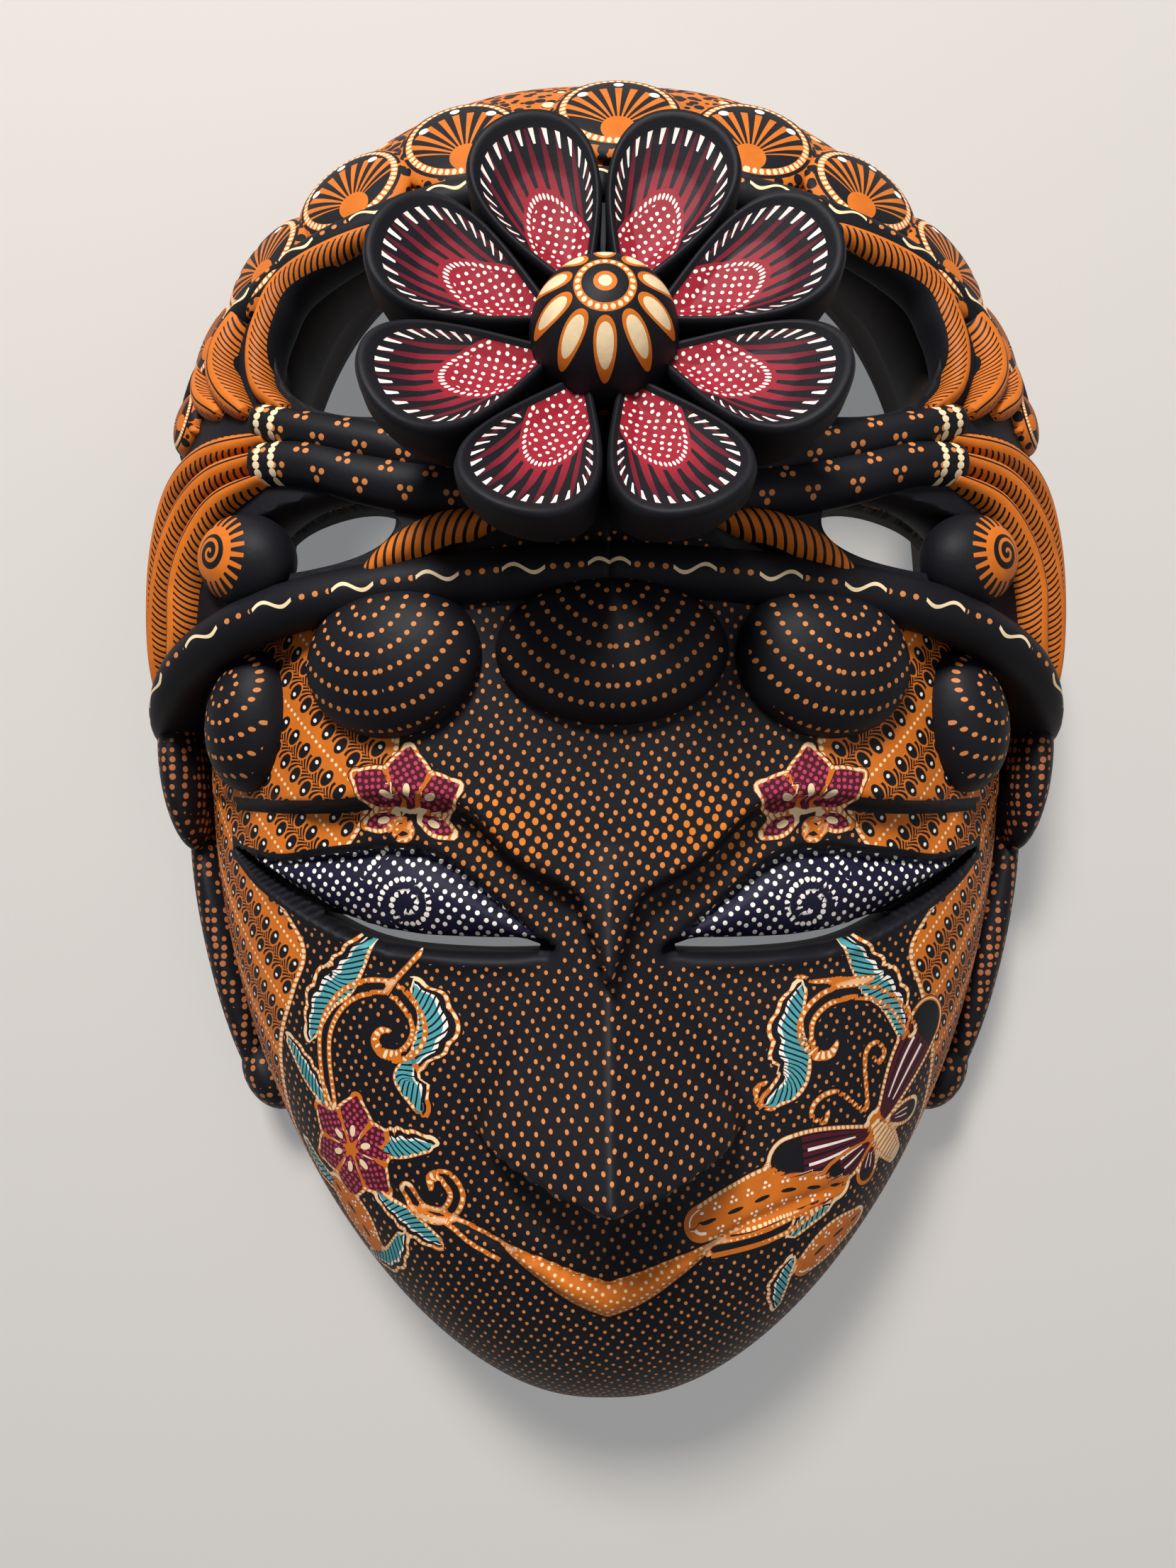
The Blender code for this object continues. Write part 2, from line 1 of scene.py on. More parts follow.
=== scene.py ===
# %% [markdown]
# A carved and batik-painted wooden mask.
# The mask is one block of light wood. A carver roughs it out, hollows the back, pierces the
# headdress and carves the flower, and a painter then covers it with wax-resist dots and dyes. This
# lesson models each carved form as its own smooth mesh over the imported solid, then paints every
# form with patterns that are worked out in millimetres.

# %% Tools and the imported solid
import math

import bpy
import numpy as np
from mathutils import Matrix, Vector


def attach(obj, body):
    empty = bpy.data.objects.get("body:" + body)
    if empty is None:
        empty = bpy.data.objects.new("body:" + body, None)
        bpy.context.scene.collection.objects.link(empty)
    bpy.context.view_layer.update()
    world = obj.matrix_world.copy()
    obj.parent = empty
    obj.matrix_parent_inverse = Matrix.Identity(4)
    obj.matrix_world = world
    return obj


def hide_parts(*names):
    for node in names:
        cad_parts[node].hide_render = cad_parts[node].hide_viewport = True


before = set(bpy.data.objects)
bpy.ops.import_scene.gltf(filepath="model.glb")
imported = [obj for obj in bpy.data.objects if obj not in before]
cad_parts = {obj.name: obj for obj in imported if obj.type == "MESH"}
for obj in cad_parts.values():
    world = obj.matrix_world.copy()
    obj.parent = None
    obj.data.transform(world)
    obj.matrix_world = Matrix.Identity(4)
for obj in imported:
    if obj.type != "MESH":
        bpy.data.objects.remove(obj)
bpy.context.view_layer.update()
MM = 0.001

# %% [markdown]
# The driving sizes, in millimetres. They are the same sizes as the carved solid has, so the painted
# forms lie on it. A carver thinks of a mask as a few domes: the face, the crown that carries the
# headdress, and the hollow behind.

# %% Sizes of the carving
FACE_HALF_WIDTH = 82.0
FACE_WIDEST_Y = -4.0
CHIN_Y = -135.0
FACE_TOP_Y = 60.0
FACE_HEIGHT = 57.0
SECTION_POWER = 2.6
BROW_RISE = 6.2
BROW_LINE = [
    (0, -42), (3.5, -32), (6, -27), (15.5, -21.5), (25, -12.7),
    (35, -10.6), (49, -11.9), (67, -11.7), (90, -9),
]
UPPER_LID = [(8.7, -37.5), (18, -29.8), (28.4, -21.6), (37, -19.4)]
UPPER_LID += [(50, -20.8), (60.3, -22.3), (70.5, -20.6)]
LOWER_LID = [(8.7, -37.6), (23.1, -37.9), (38.5, -36.9), (50, -33.3), (64, -26.1), (70.5, -20.8)]
EYE_INNER_X = 8.7
EYE_OUTER_X = 70.5
EYE_RECESS = 4.4
EYE_BULGE = 3.8
LID_RIM = 0.9
SLIT_WIDTH = 2.4
SLIT_INNER_X = 12.0
SLIT_OUTER_X = 52.0
NOSE_ROOT_Y = -18.0
NOSE_TIP_Y = -74.5
NOSE_RISE = 27.0
NOSE_ROOT_HALF_WIDTH = 6.0
NOSE_HALF_WIDTH = 24.5
NOSE_WING = 0.3
NOSTRIL_LIFT = 8.0
MOUTH_LINE = [(0, -95.2), (6, -93.1), (12, -90.6), (18.4, -88.5), (28, -84.5), (42, -81), (60, -80)]
MOUTH_HALF_WIDTH = 18.4
LOWER_LIP_DROP = 6.7
UPPER_LIP_RISE = 2.0
LOWER_LIP_RISE = 2.6
CROWN_HALF_WIDTH = 91.0
CROWN_WIDEST_Y = 19.0
CROWN_TOP_Y = 135.0
CROWN_LOW_Y = -41.0
CROWN_HEIGHT = 62.0
CROWN_POWER = 2.1
WALL = 10.0
HOLLOW_HALF_WIDTH = 69.0
HOLLOW_WIDEST_Y = 5.0
HOLLOW_TOP_Y = 110.0
UPPER_OPENING = (37.5, 71.0, 22.0, 16.5, 0.0)
LOWER_OPENING = (51.0, 34.9, 15.0, 6.2, -9.0)
HEADBAND = [(0, 28), (21, 26.6), (38, 25), (56, 22), (67, 18.4), (77.6, 12.6)]
HEADBAND += [(85, 3.5), (89.5, -8), (88, -17)]
CROWN_BAND = [(0, 97), (23, 95.8), (50, 88.4), (64, 81.2), (76, 71.5), (85, 60), (90, 50)]
CURLS = [(0.5, 14.0, 19.5, 12.5, 0), (36.5, 12.5, 15.5, 13.0, -12), (64.5, 3.0, 9.0, 13.0, 12)]
CURL_RISE = 8.5
SCALLOPS = [
    (2, 113, 13.0), (26, 107, 12.5), (46, 98.5, 12.0),
    (63, 88, 11.5), (74, 75.5, 9.5), (79.5, 61, 6.5),
]
SCALLOP_RISE = 3.2
LEAVES = [
    ([(40, 89.5), (55.8, 81.8), (60.2, 74.2), (61.6, 67.5), (60.4, 61.2), (56, 57)], 3.0, 4.2),
    ([(67, 79.5), (69.8, 72.3), (69.8, 66.3), (67.5, 61.3), (64, 57.5)], 3.6, 4.2),
    ([(76, 73), (75.6, 67.5), (73.8, 62.5), (70, 58.8)], 3.2, 3.4),
    ([(80, 67.5), (79.2, 62.5), (77, 57.5)], 2.4, 2.2),
    ([(60, 52.3), (72.5, 51.2), (80.5, 46), (85, 36), (86.8, 24), (87, 8)], 3.2, 3.4),
    ([(60, 49), (70, 46.5), (76.4, 41), (80.5, 33), (83, 22), (84, 8)], 3.2, 4.2),
    ([(60, 45), (68, 41.6), (73, 35.5), (76, 28), (77, 19), (79, 10)], 3.0, 4.6),
    ([(18, 36.6), (27, 34.4), (35, 30.6), (41.5, 26.2)], 3.4, 5.4),
]
ARMS = [
    ([(61, 55.6), (52, 52.8), (40, 49.7), (26, 46.4), (14, 45)], 4.4, 4.4),
    ([(61, 47.8), (52, 47), (41.5, 43.8), (30, 41.6), (14, 40)], 5.2, 4.6),
]
HEADBAND_HALF_WIDTH = 4.6
SCROLL_BALL = (63.5, 31.0, 9.6, 8.2, 5.0, 8.0)
FLOWER_PLACE = (-1.0, 61.0)
FLOWER_STAND = 16.0
FLOWER_RADIUS = 38.5
FLOWER_TILT = 18.0
FLOWER_DEPTH = 23.0
PETALS = 8
PETAL_INNER = 6.5
PETAL_HALF_WIDTH = 13.4
PETAL_DISH = 2.8
PETAL_LIFT = 9.0
BOSS_RADIUS = 11.6
BOSS_RISE = 12.0
STEM_RADIUS = 19.0
EAR = (78.2, -42.0, 12.0, 4.6, 31.0, 10.0, 13.0)
EAR_LOBE = (69.5, -68.5, 11.5, 5.6, 8.6, 9.5, 30.0)
SIDE_LOCK = (85.0, -4.5, 19.0, 4.6, 17.5, 12.0, 6.0)
print("petals:", PETALS, "curls:", 2 * len(CURLS) - 1, "scallops:", 2 * len(SCALLOPS) - 1)


# %% [markdown]
# Heights of the carved surfaces over the rim plane. A face is easiest to carve from a smooth dome:
# the brow is a step, the nose a wedge with a sharp ridge, the eye a sunk almond with a ball in it,
# and the lip a small swelling.

# %% Heights of the face, the crown and the hollow
def smoothstep(low, high, value):
    share = np.clip((value - low) / (high - low), 0.0, 1.0)
    return share * share * (3.0 - 2.0 * share)


def spline(points, samples):
    given = np.array(points, float)
    padded = np.vstack([2 * given[0] - given[1], given, 2 * given[-1] - given[-2]])
    fine = []
    for a, b, c, d in zip(padded, padded[1:], padded[2:], padded[3:]):
        t = np.linspace(0, 1, 24, endpoint=False)[:, None]
        fine.append(b + 0.5 * t * (c - a + t * (2 * a - 5 * b + 4 * c - d + t * (3 * (b - c) + d - a))))
    fine = np.vstack([*fine, given[-1]])
    walked = np.concatenate([[0], np.cumsum(np.linalg.norm(np.diff(fine, axis=0), axis=1))])
    at = np.linspace(0, walked[-1], samples)
    return np.stack([np.interp(at, walked, column) for column in fine.T], axis=1)


def height_of_line(points, x):
    drawn = spline(points, 120)
    return np.interp(np.abs(x), drawn[:, 0], drawn[:, 1])


def rounded(share, power):
    return (1.0 - np.clip(np.abs(share), 0, 1) ** power) ** (1.0 / power)


def face_half_width(y):
    below = (1.0 - np.clip((FACE_WIDEST_Y - y) / (FACE_WIDEST_Y - CHIN_Y), 0, 1) ** 2) ** 0.625
    above = rounded(np.clip((y - FACE_WIDEST_Y) / (FACE_TOP_Y - FACE_WIDEST_Y), 0, 1), 2.4)
    return FACE_HALF_WIDTH * np.where(y < FACE_WIDEST_Y, below, above)


def face_base(x, y):
    reach = np.where(y < FACE_WIDEST_Y, FACE_WIDEST_Y - CHIN_Y, FACE_TOP_Y - FACE_WIDEST_Y)
    centre = FACE_HEIGHT * np.sqrt(1.0 - np.clip(np.abs(y - FACE_WIDEST_Y) / reach, 0, 1) ** 6)
    return centre * rounded(x / np.maximum(face_half_width(y), 1e-6), SECTION_POWER)


def nose_height(x, y):
    along = np.clip((NOSE_ROOT_Y - y) / (NOSE_ROOT_Y - NOSE_TIP_Y), 0, 1.1)
    half = NOSE_ROOT_HALF_WIDTH + (NOSE_HALF_WIDTH - NOSE_ROOT_HALF_WIDTH) * smoothstep(0.1, 0.92, along)
    across = np.clip(1.0 - np.abs(x) / half, 0, 1)
    wing = smoothstep(0.0, 0.22, across) * NOSE_WING * smoothstep(0.5, 0.95, along)
    edge = NOSE_TIP_Y + NOSTRIL_LIFT * (x / NOSE_HALF_WIDTH) ** 2
    shape = across ** 1.05 * (1.0 - NOSE_WING) + wing
    return NOSE_RISE * along ** 1.15 * shape * smoothstep(edge - 1.3, edge + 0.5, y)


def eye_share(x, y):
    """1 inside the almond of the eye, 0 outside."""
    width = np.abs(x)
    share = smoothstep(EYE_INNER_X - 0.5, EYE_INNER_X + 1.5, width)
    share *= smoothstep(EYE_OUTER_X + 0.5, EYE_OUTER_X - 1.5, width)
    share *= smoothstep(height_of_line(UPPER_LID, x) + 0.4, height_of_line(UPPER_LID, x) - 0.4, y)
    return share * smoothstep(height_of_line(LOWER_LID, x) - 0.4, height_of_line(LOWER_LID, x) + 0.4, y)


def eye_height(x, y):
    upper = height_of_line(UPPER_LID, x)
    lower = height_of_line(LOWER_LID, x)
    width = np.abs(x)
    half = np.maximum((upper - lower - SLIT_WIDTH) / 2, 0.8)
    ball = EYE_BULGE * np.clip(1.0 - ((y - (upper + lower + SLIT_WIDTH) / 2) / half) ** 2, 0, 1)
    groove = 2.4 * smoothstep(lower + SLIT_WIDTH + 0.3, lower + SLIT_WIDTH - 0.5, y)
    rim = LID_RIM * np.exp(-(((y - lower + 1.2) / 1.3) ** 2))
    rim = rim * smoothstep(EYE_OUTER_X, 55, width) * smoothstep(9, 20, width)
    return eye_share(x, y) * (ball - EYE_RECESS - groove) + rim


def lip_bottom(x):
    mouth = height_of_line(MOUTH_LINE, x)
    return mouth - (LOWER_LIP_DROP * np.clip(1.0 - (x / MOUTH_HALF_WIDTH) ** 2, 0, 1) + 0.3)


def lip_height(x, y):
    mouth = height_of_line(MOUTH_LINE, x)
    across = np.abs(x) / MOUTH_HALF_WIDTH
    open_part = smoothstep(1.35, 0.6, across)
    upper = UPPER_LIP_RISE * smoothstep(mouth - 0.4, mouth + 0.4, y)
    upper = upper * smoothstep(mouth + 13, mouth + 1, y) * open_part
    bottom = lip_bottom(x)
    half = (mouth - bottom) / 2
    lower = np.clip(1.0 - ((y - (mouth + bottom) / 2) / np.maximum(half, 0.2)) ** 2, 0, 1) ** 0.7
    crease = -0.9 * np.exp(-(((y - mouth) / 1.1) ** 2))
    crease = crease * smoothstep(0.8, 1.1, across) * smoothstep(2.6, 1.9, across)
    return upper + LOWER_LIP_RISE * lower * smoothstep(1.0, 0.7, across) + crease


def face_height(x, y):
    edge_fade = smoothstep(1.0, 0.9, np.abs(x / np.maximum(face_half_width(y), 1e-6)))
    brow = height_of_line(BROW_LINE, x)
    forehead = BROW_RISE * smoothstep(brow - 0.8, brow + 0.8, y)
    forehead = forehead * (1.0 - 0.65 * smoothstep(48, 66, np.abs(x)))
    return face_base(x, y) + edge_fade * (forehead + nose_height(x, y) + eye_height(x, y) + lip_height(x, y))


def crown_half_width(y):
    reach = np.where(y < CROWN_WIDEST_Y, CROWN_WIDEST_Y - CROWN_LOW_Y, CROWN_TOP_Y - CROWN_WIDEST_Y)
    return CROWN_HALF_WIDTH * rounded(np.abs(y - CROWN_WIDEST_Y) / reach, CROWN_POWER)


def crown_height(x, y):
    reach = np.where(y < CROWN_WIDEST_Y, CROWN_WIDEST_Y - CROWN_LOW_Y, CROWN_TOP_Y - CROWN_WIDEST_Y)
    up = np.clip(np.abs(y - CROWN_WIDEST_Y) / reach, 0, 1)
    return CROWN_HEIGHT * rounded(up, 2.6) * rounded(x / np.maximum(crown_half_width(y), 1e-6), 2.8)


def hollow_half_width(y):
    low = CHIN_Y + WALL + 2
    below = (1.0 - np.clip((HOLLOW_WIDEST_Y - y) / (HOLLOW_WIDEST_Y - low), 0, 1) ** 2) ** 0.625
    above = rounded(np.clip((y - HOLLOW_WIDEST_Y) / (HOLLOW_TOP_Y - HOLLOW_WIDEST_Y), 0, 1), 3.0)
    return HOLLOW_HALF_WIDTH * np.where(y < HOLLOW_WIDEST_Y, below, above)


def hollow_height(x, y):
    low = CHIN_Y + WALL + 2
    reach = np.where(y < HOLLOW_WIDEST_Y, HOLLOW_WIDEST_Y - low, HOLLOW_TOP_Y - HOLLOW_WIDEST_Y)
    up = np.clip(np.abs(y - HOLLOW_WIDEST_Y) / reach, 0, 1)
    return (FACE_HEIGHT - WALL) * rounded(up, 3.4) * rounded(x / np.maximum(hollow_half_width(y), 1e-6), 2.6)


def normal_on(height, x, y):
    step = 0.4
    slope_x = (height(x + step, y) - height(x - step, y)) / (2 * step)
    slope_y = (height(x, y + step) - height(x, y - step)) / (2 * step)
    limit = min(1.0, 2.4 / max(math.hypot(slope_x, slope_y), 1e-6))
    return Vector((-slope_x * limit, -slope_y * limit, 1.0)).normalized()


print("face height at the nose:", round(float(face_height(np.float64(0), np.float64(-70))), 1), "mm")

# %% [markdown]
# Each form is a mesh whose points also carry numbers for the painter: how far along and across the
# form they are, in millimetres. Paint laid out in those numbers keeps its true size and follows the
# carving round every bend.

# %% Making a mesh with its painter's measures
made = []


def new_mesh(name, points, faces, measures):
    mesh = bpy.data.meshes.new(name)
    mesh.from_pydata((np.asarray(points) * MM).tolist(), [], faces)
    for key, values in measures.items():
        mesh.attributes.new(key, "FLOAT", "POINT").data.foreach_set("value", np.asarray(values, np.float32))
    mesh.update()
    mesh.shade_smooth()
    piece = bpy.data.objects.new(name, mesh)
    bpy.context.collection.objects.link(piece)
    return piece


def joined(name, forms, material):
    """One piece from several forms, each a set of points, faces and measures."""
    points, faces, measures = [], [], {key: [] for key in forms[0][2]}
    for form_points, form_faces, form_measures in forms:
        start = sum(len(p) for p in points)
        points.append(form_points)
        faces += [[index + start for index in face] for face in form_faces]
        for key in measures:
            measures[key].append(form_measures[key])
    measures = {key: np.concatenate(values) for key, values in measures.items()}
    piece = new_mesh(name, np.vstack(points), faces, measures)
    piece.data.materials.append(material)
    made.append(piece)
    print(name, len(piece.data.polygons), "faces")
    return piece


def clear_of_hollow(points):
    """Points that would hang into the hollow are lifted into the wall over it, and none is below the rim."""
    x, y, z = points.T
    inside = (np.abs(x) < hollow_half_width(y)) & (y > CHIN_Y + WALL) & (y < HOLLOW_TOP_Y)
    ceiling = np.where(inside, hollow_height(x, y) + 1.0, 0.0)
    return np.stack([x, y, np.maximum(np.maximum(z, np.minimum(ceiling, 50)), 0)], axis=1)


def loft(rings):
    """Faces of a closed solid through rings of equally many points."""
    count, around = rings.shape[:2]
    faces = []
    for row in range(count - 1):
        low = row * around
        high = low + around
        for i in range(around):
            j = (i + 1) % around
            faces.append([low + i, low + j, high + j, high + i])
    faces.append(list(range(around))[::-1])
    faces.append([(count - 1) * around + i for i in range(around)])
    return rings.reshape(-1, 3), faces


def ridge(height, path, half_width, rise, sink, taper, mirror, steps=100, around=28):
    """A rounded ridge over a dome, with its measures along and across."""
    side = -1 if mirror else 1
    line = spline(path, steps)
    walked = np.concatenate([[0], np.cumsum(np.linalg.norm(np.diff(line, axis=0), axis=1))])
    turns = np.linspace(0, 2 * math.pi, around, endpoint=False)
    rings, along, across = [], [], []
    for index, (x, y) in enumerate(line):
        ahead = line[min(index + 1, steps - 1)] - line[max(index - 1, 0)]
        up = normal_on(height, x * side, y)
        place = np.array((x * side, y, float(height(np.float64(x * side), np.float64(y)))))
        out = up.cross(Vector((ahead[0] * side, ahead[1], 0))).normalized()
        size = max(taper(index / (steps - 1)), 0.05)
        tall = np.where(np.sin(turns) > 0, rise * size ** 0.6, sink)
        flat = half_width * size * np.cos(turns)
        rings.append(place + flat[:, None] * np.array(out) + (tall * np.sin(turns))[:, None] * np.array(up))
        along.append(np.full(around, walked[index]))
        across.append(flat * side + np.where(np.sin(turns) < -0.05, np.sign(flat * side) * 2, 0))
    points, faces = loft(np.array(rings))
    measures = {"along": np.concatenate(along), "across": np.concatenate(across)}
    return clear_of_hollow(points), faces, measures


def lump(place, sizes, turn, up, around=72, rows=40):
    """An ellipsoid with its own measures: right and up across it, and its size."""
    right = Vector((0, 1, 0)).cross(up).normalized()
    axes = Matrix((right, up.cross(right), up)).transposed() @ Matrix.Rotation(math.radians(turn), 3, "Z")
    axes = np.array(axes)
    rings = []
    downs = np.linspace(0.02, math.pi - 0.02, rows)
    for down in downs:
        angle = np.linspace(0, 2 * math.pi, around, endpoint=False)
        wide = math.sin(down)
        circle = [np.cos(angle) * wide, np.sin(angle) * wide, np.full(around, math.cos(down))]
        rings.append(np.stack(circle, axis=1) * sizes)
    points, faces = loft(np.array(rings))
    rim = np.repeat(np.where(downs < math.pi / 2, np.sin(downs), 1.0), around)
    size = np.full(len(points), sizes[0])
    measures = {"right": points[:, 0].copy(), "up": points[:, 1].copy(), "size": size, "rim": rim}
    faces = [face[::-1] for face in faces]
    return clear_of_hollow(points @ axes.T + np.array(place)), faces, measures


def lump_on(height, x, y, sizes, turn):
    place = (x, y, float(height(np.float64(x), np.float64(y))))
    return lump(place, sizes, turn, normal_on(height, x, y))


# %% [markdown]
# Colours are read as the eye sees them, in sRGB hex, and turned to linear light once. The dyes are
# a near-black indigo, a burnt orange, cream where the wax kept the wood bare, reds for the flowers
# and teal for the leaves.

# %% Colours and one way to add a node
def dye(text):
    parts = [int(text[i:i + 2], 16) / 255 for i in (1, 3, 5)]
    linear = [c / 12.92 if c <= 0.04045 else ((c + 0.055) / 1.055) ** 2.4 for c in parts]
    return (*linear, 1.0)


BLACK = dye("#131217")
DEEP = dye("#0b0a0d")
ORANGE = dye("#c96a1c")
DOT_ORANGE = dye("#c97c42")
CREAM = dye("#ecd2a6")
WHITE = dye("#f1e7da")
RED = dye("#8f1a29")
MAROON = dye("#501322")
ROSE = dye("#b5405a")
TEAL = dye("#4b9aa0")
INDIGO = dye("#16142a")
STAINED_WOOD = dye("#33271f")
LACQUER_ROUGHNESS = 0.58
LACQUER_SPECULAR = 0.18
BRUSH_RELIEF = 0.12
BRUSH_DEPTH = 0.0004
GRAIN_SCALE = 900.0
CLOUD_SCALE = 180.0
CLOUD_TONES = (0.86, 1.1)
CUT_DEPTH = 0.8
FACING_DOWN = -0.4
GROUND_PITCH = 1.75


class Painter:
    """Builds one painted material, node by node."""

    def __init__(self, name):
        self.material = bpy.data.materials.new(name)
        self.material.use_nodes = True
        self.tree = self.material.node_tree
        self.shader = self.tree.nodes["Principled BSDF"]
        self.shader.inputs["Roughness"].default_value = LACQUER_ROUGHNESS
        self.shader.inputs["Specular IOR Level"].default_value = LACQUER_SPECULAR

    def add(self, kind, *values, out=0, **settings):
        """Adds a node, sets it, feeds its sockets in order and returns one output.

        A kind in capitals is an operation of the Math node."""
        if kind.isupper():
            settings["operation"] = kind
            kind = "Math"
        node = self.tree.nodes.new("ShaderNode" + kind)
        for key, value in settings.items():
            setattr(node, key, value)
        fed = values[0] if values and isinstance(values[0], dict) else dict(enumerate(values))
        open_sockets = [s for s in node.inputs if s.enabled]
        for key, value in fed.items():
            socket = node.inputs[key] if isinstance(key, str) else open_sockets[key]
            if isinstance(value, bpy.types.NodeSocket):
                self.tree.links.new(value, socket)
            else:
                socket.default_value = value
        return [s for s in node.outputs if s.enabled][out]

    def measure(self, name):
        return self.add("Attribute", attribute_name=name, out=2)

    def below(self, value, limit):
        return self.add("LESS_THAN", value, limit)

    def between(self, value, low, high):
        return self.add("MULTIPLY", self.add("GREATER_THAN", value, low), self.below(value, high))

    def over(self, base, mask, colour):
        """Lays colour over base where mask is 1."""
        return self.add("Mix", mask, base, colour, data_type="RGBA")

    def length(self, a, b):
        squares = self.add("ADD", self.add("MULTIPLY", a, a), self.add("MULTIPLY", b, b))
        return self.add("SQRT", squares)

    def row_of_dots(self, along, off, pitch, radius):
        """Round dots at every pitch along a line, off being the distance from it."""
        near = self.add("WRAP", along, pitch / 2, -pitch / 2)
        return self.below(self.length(near, off), radius)

    def scattered_dots(self, a, b, pitch, radius, disorder=0.35, turn=0.6):
        """Hand-set dots about pitch apart over a surface measured by a and b."""
        flat = self.add("CombineXYZ", a, b, 0.0)
        turned = self.add("VectorRotate", flat, (0, 0, 0), (0, 0, 1), turn, rotation_type="AXIS_ANGLE")
        sockets = {"Vector": turned, "Scale": 1 / pitch, "Randomness": disorder}
        cells = self.add("TexVoronoi", sockets, voronoi_dimensions="2D")
        return self.below(cells, radius / pitch)

    def solid_spots(self, pitch, radius, disorder=0.6):
        """Spots that run through the block itself, so they don't stretch down its sides."""
        where = self.add("TexCoord", out=3)
        sockets = {"Vector": where, "Scale": 1 / (pitch * MM), "Randomness": disorder}
        cells = self.add("TexVoronoi", sockets, voronoi_dimensions="3D")
        return self.below(cells, radius / pitch)

    def stained_behind(self, colour):
        """Dark stain in the hollow and under the rim, and deep black in the cuts, over the paint."""
        cut = self.add("GREATER_THAN", self.measure("depth"), CUT_DEPTH)
        facing = {"Vector": self.add("NewGeometry", out=3)}
        frames = {"vector_type": "NORMAL", "convert_from": "WORLD", "convert_to": "OBJECT"}
        facing = self.add("SeparateXYZ", self.add("VectorTransform", facing, **frames), out=2)
        under = self.below(facing, FACING_DOWN)
        inside = self.add("MAXIMUM", under, self.add("MULTIPLY", cut, self.measure("inside")))
        return self.over(self.over(colour, cut, DEEP), inside, STAINED_WOOD)

    def finish(self, colour):
        """Sends the colour to the shader with a faint brushed relief and a little unevenness."""
        where = self.add("TexCoord", out=3)
        cloud = self.add("TexNoise", where, CLOUD_SCALE, 4.0, 0.6, noise_dimensions="3D")
        tone = self.add("MapRange", cloud, 0.3, 0.7, *CLOUD_TONES)
        toned = self.add("VectorMath", {"Vector": colour, "Scale": tone}, operation="SCALE")
        self.tree.links.new(toned, self.shader.inputs["Base Color"])
        grain = self.add("TexNoise", where, GRAIN_SCALE, 3.0, 0.6, noise_dimensions="3D")
        relief = self.add("Bump", {"Strength": BRUSH_RELIEF, "Distance": BRUSH_DEPTH, "Height": grain})
        self.tree.links.new(relief, self.shader.inputs["Normal"])
        return self.material


print("dyes ready")

# %% [markdown]
# The flower, the leaves and the bands are painted first, because each has one simple pattern. A
# comb of strokes runs off every leaf's rib, short white ticks follow each petal's rim, and the
# bands carry a wave and three dots.

# %% Paint of the headdress
COMB_START = 1.1
COMB_SLANT = 1.3
COMB_PITCH = 1.2
COMB_GAP = 0.22
COMB_REACH = 2.4
RIB_SOLID = 2.8
RIB_PLACE = 0.3
RIB_HALF_WIDTH = 0.2
TONGUE_PITCH = 1.9
TONGUE_SLANT = 0.8
TONGUE_HALF_WIDTH = 0.62
TONGUE_REACH = 2.9
MARK_PITCH = 7.6
MARK_ROW = 1.9
MARK_DOTS = ((-0.8, -0.5), (0.8, -0.5), (0, 0.8))
MARK_DOT_RADIUS = 0.5
CUFF_PLACES = (1.6, 4.4)
CUFF_PITCH = 1.25
CUFF_DOT_RADIUS = 0.62
WAVE_PITCH = 14.0
WAVE_TURN = 0.9
WAVE_RISE = 0.8
WAVE_HALF_LENGTH = 3.5
WAVE_HALF_STROKE = 0.33
BAND_DOT_PITCH = 2.3
BAND_DOT_RADIUS = 0.5
BAND_DOTS_FROM = 4.0
BAND_DOTS_TO = 7.1
ARC_DOT_PITCH = 1.75
ARC_DOT_RADIUS = 0.42
HATCH_TURN = 0.036
HEART_OUT = 17.0
HEART_LENGTH = 9.6
HEART_WIDTH = 4.5
TICK_PITCH = 2.6
TICK_INNER = 0.7
TICK_OUTER = 0.82
TICK_END = 27.0
ARC_PITCH = 3.1
HAIR_DOT = dye("#a8643a")
HAIR_DOT_PITCH = 1.8
HAIR_DOT_RADIUS = 0.62
FAN_RAY_TURN = 0.11
FAN_RAY_HALF_WIDTH = 0.052
FAN_HALF_ANGLE = 1.1
MOTTLE_PITCH = 2.2


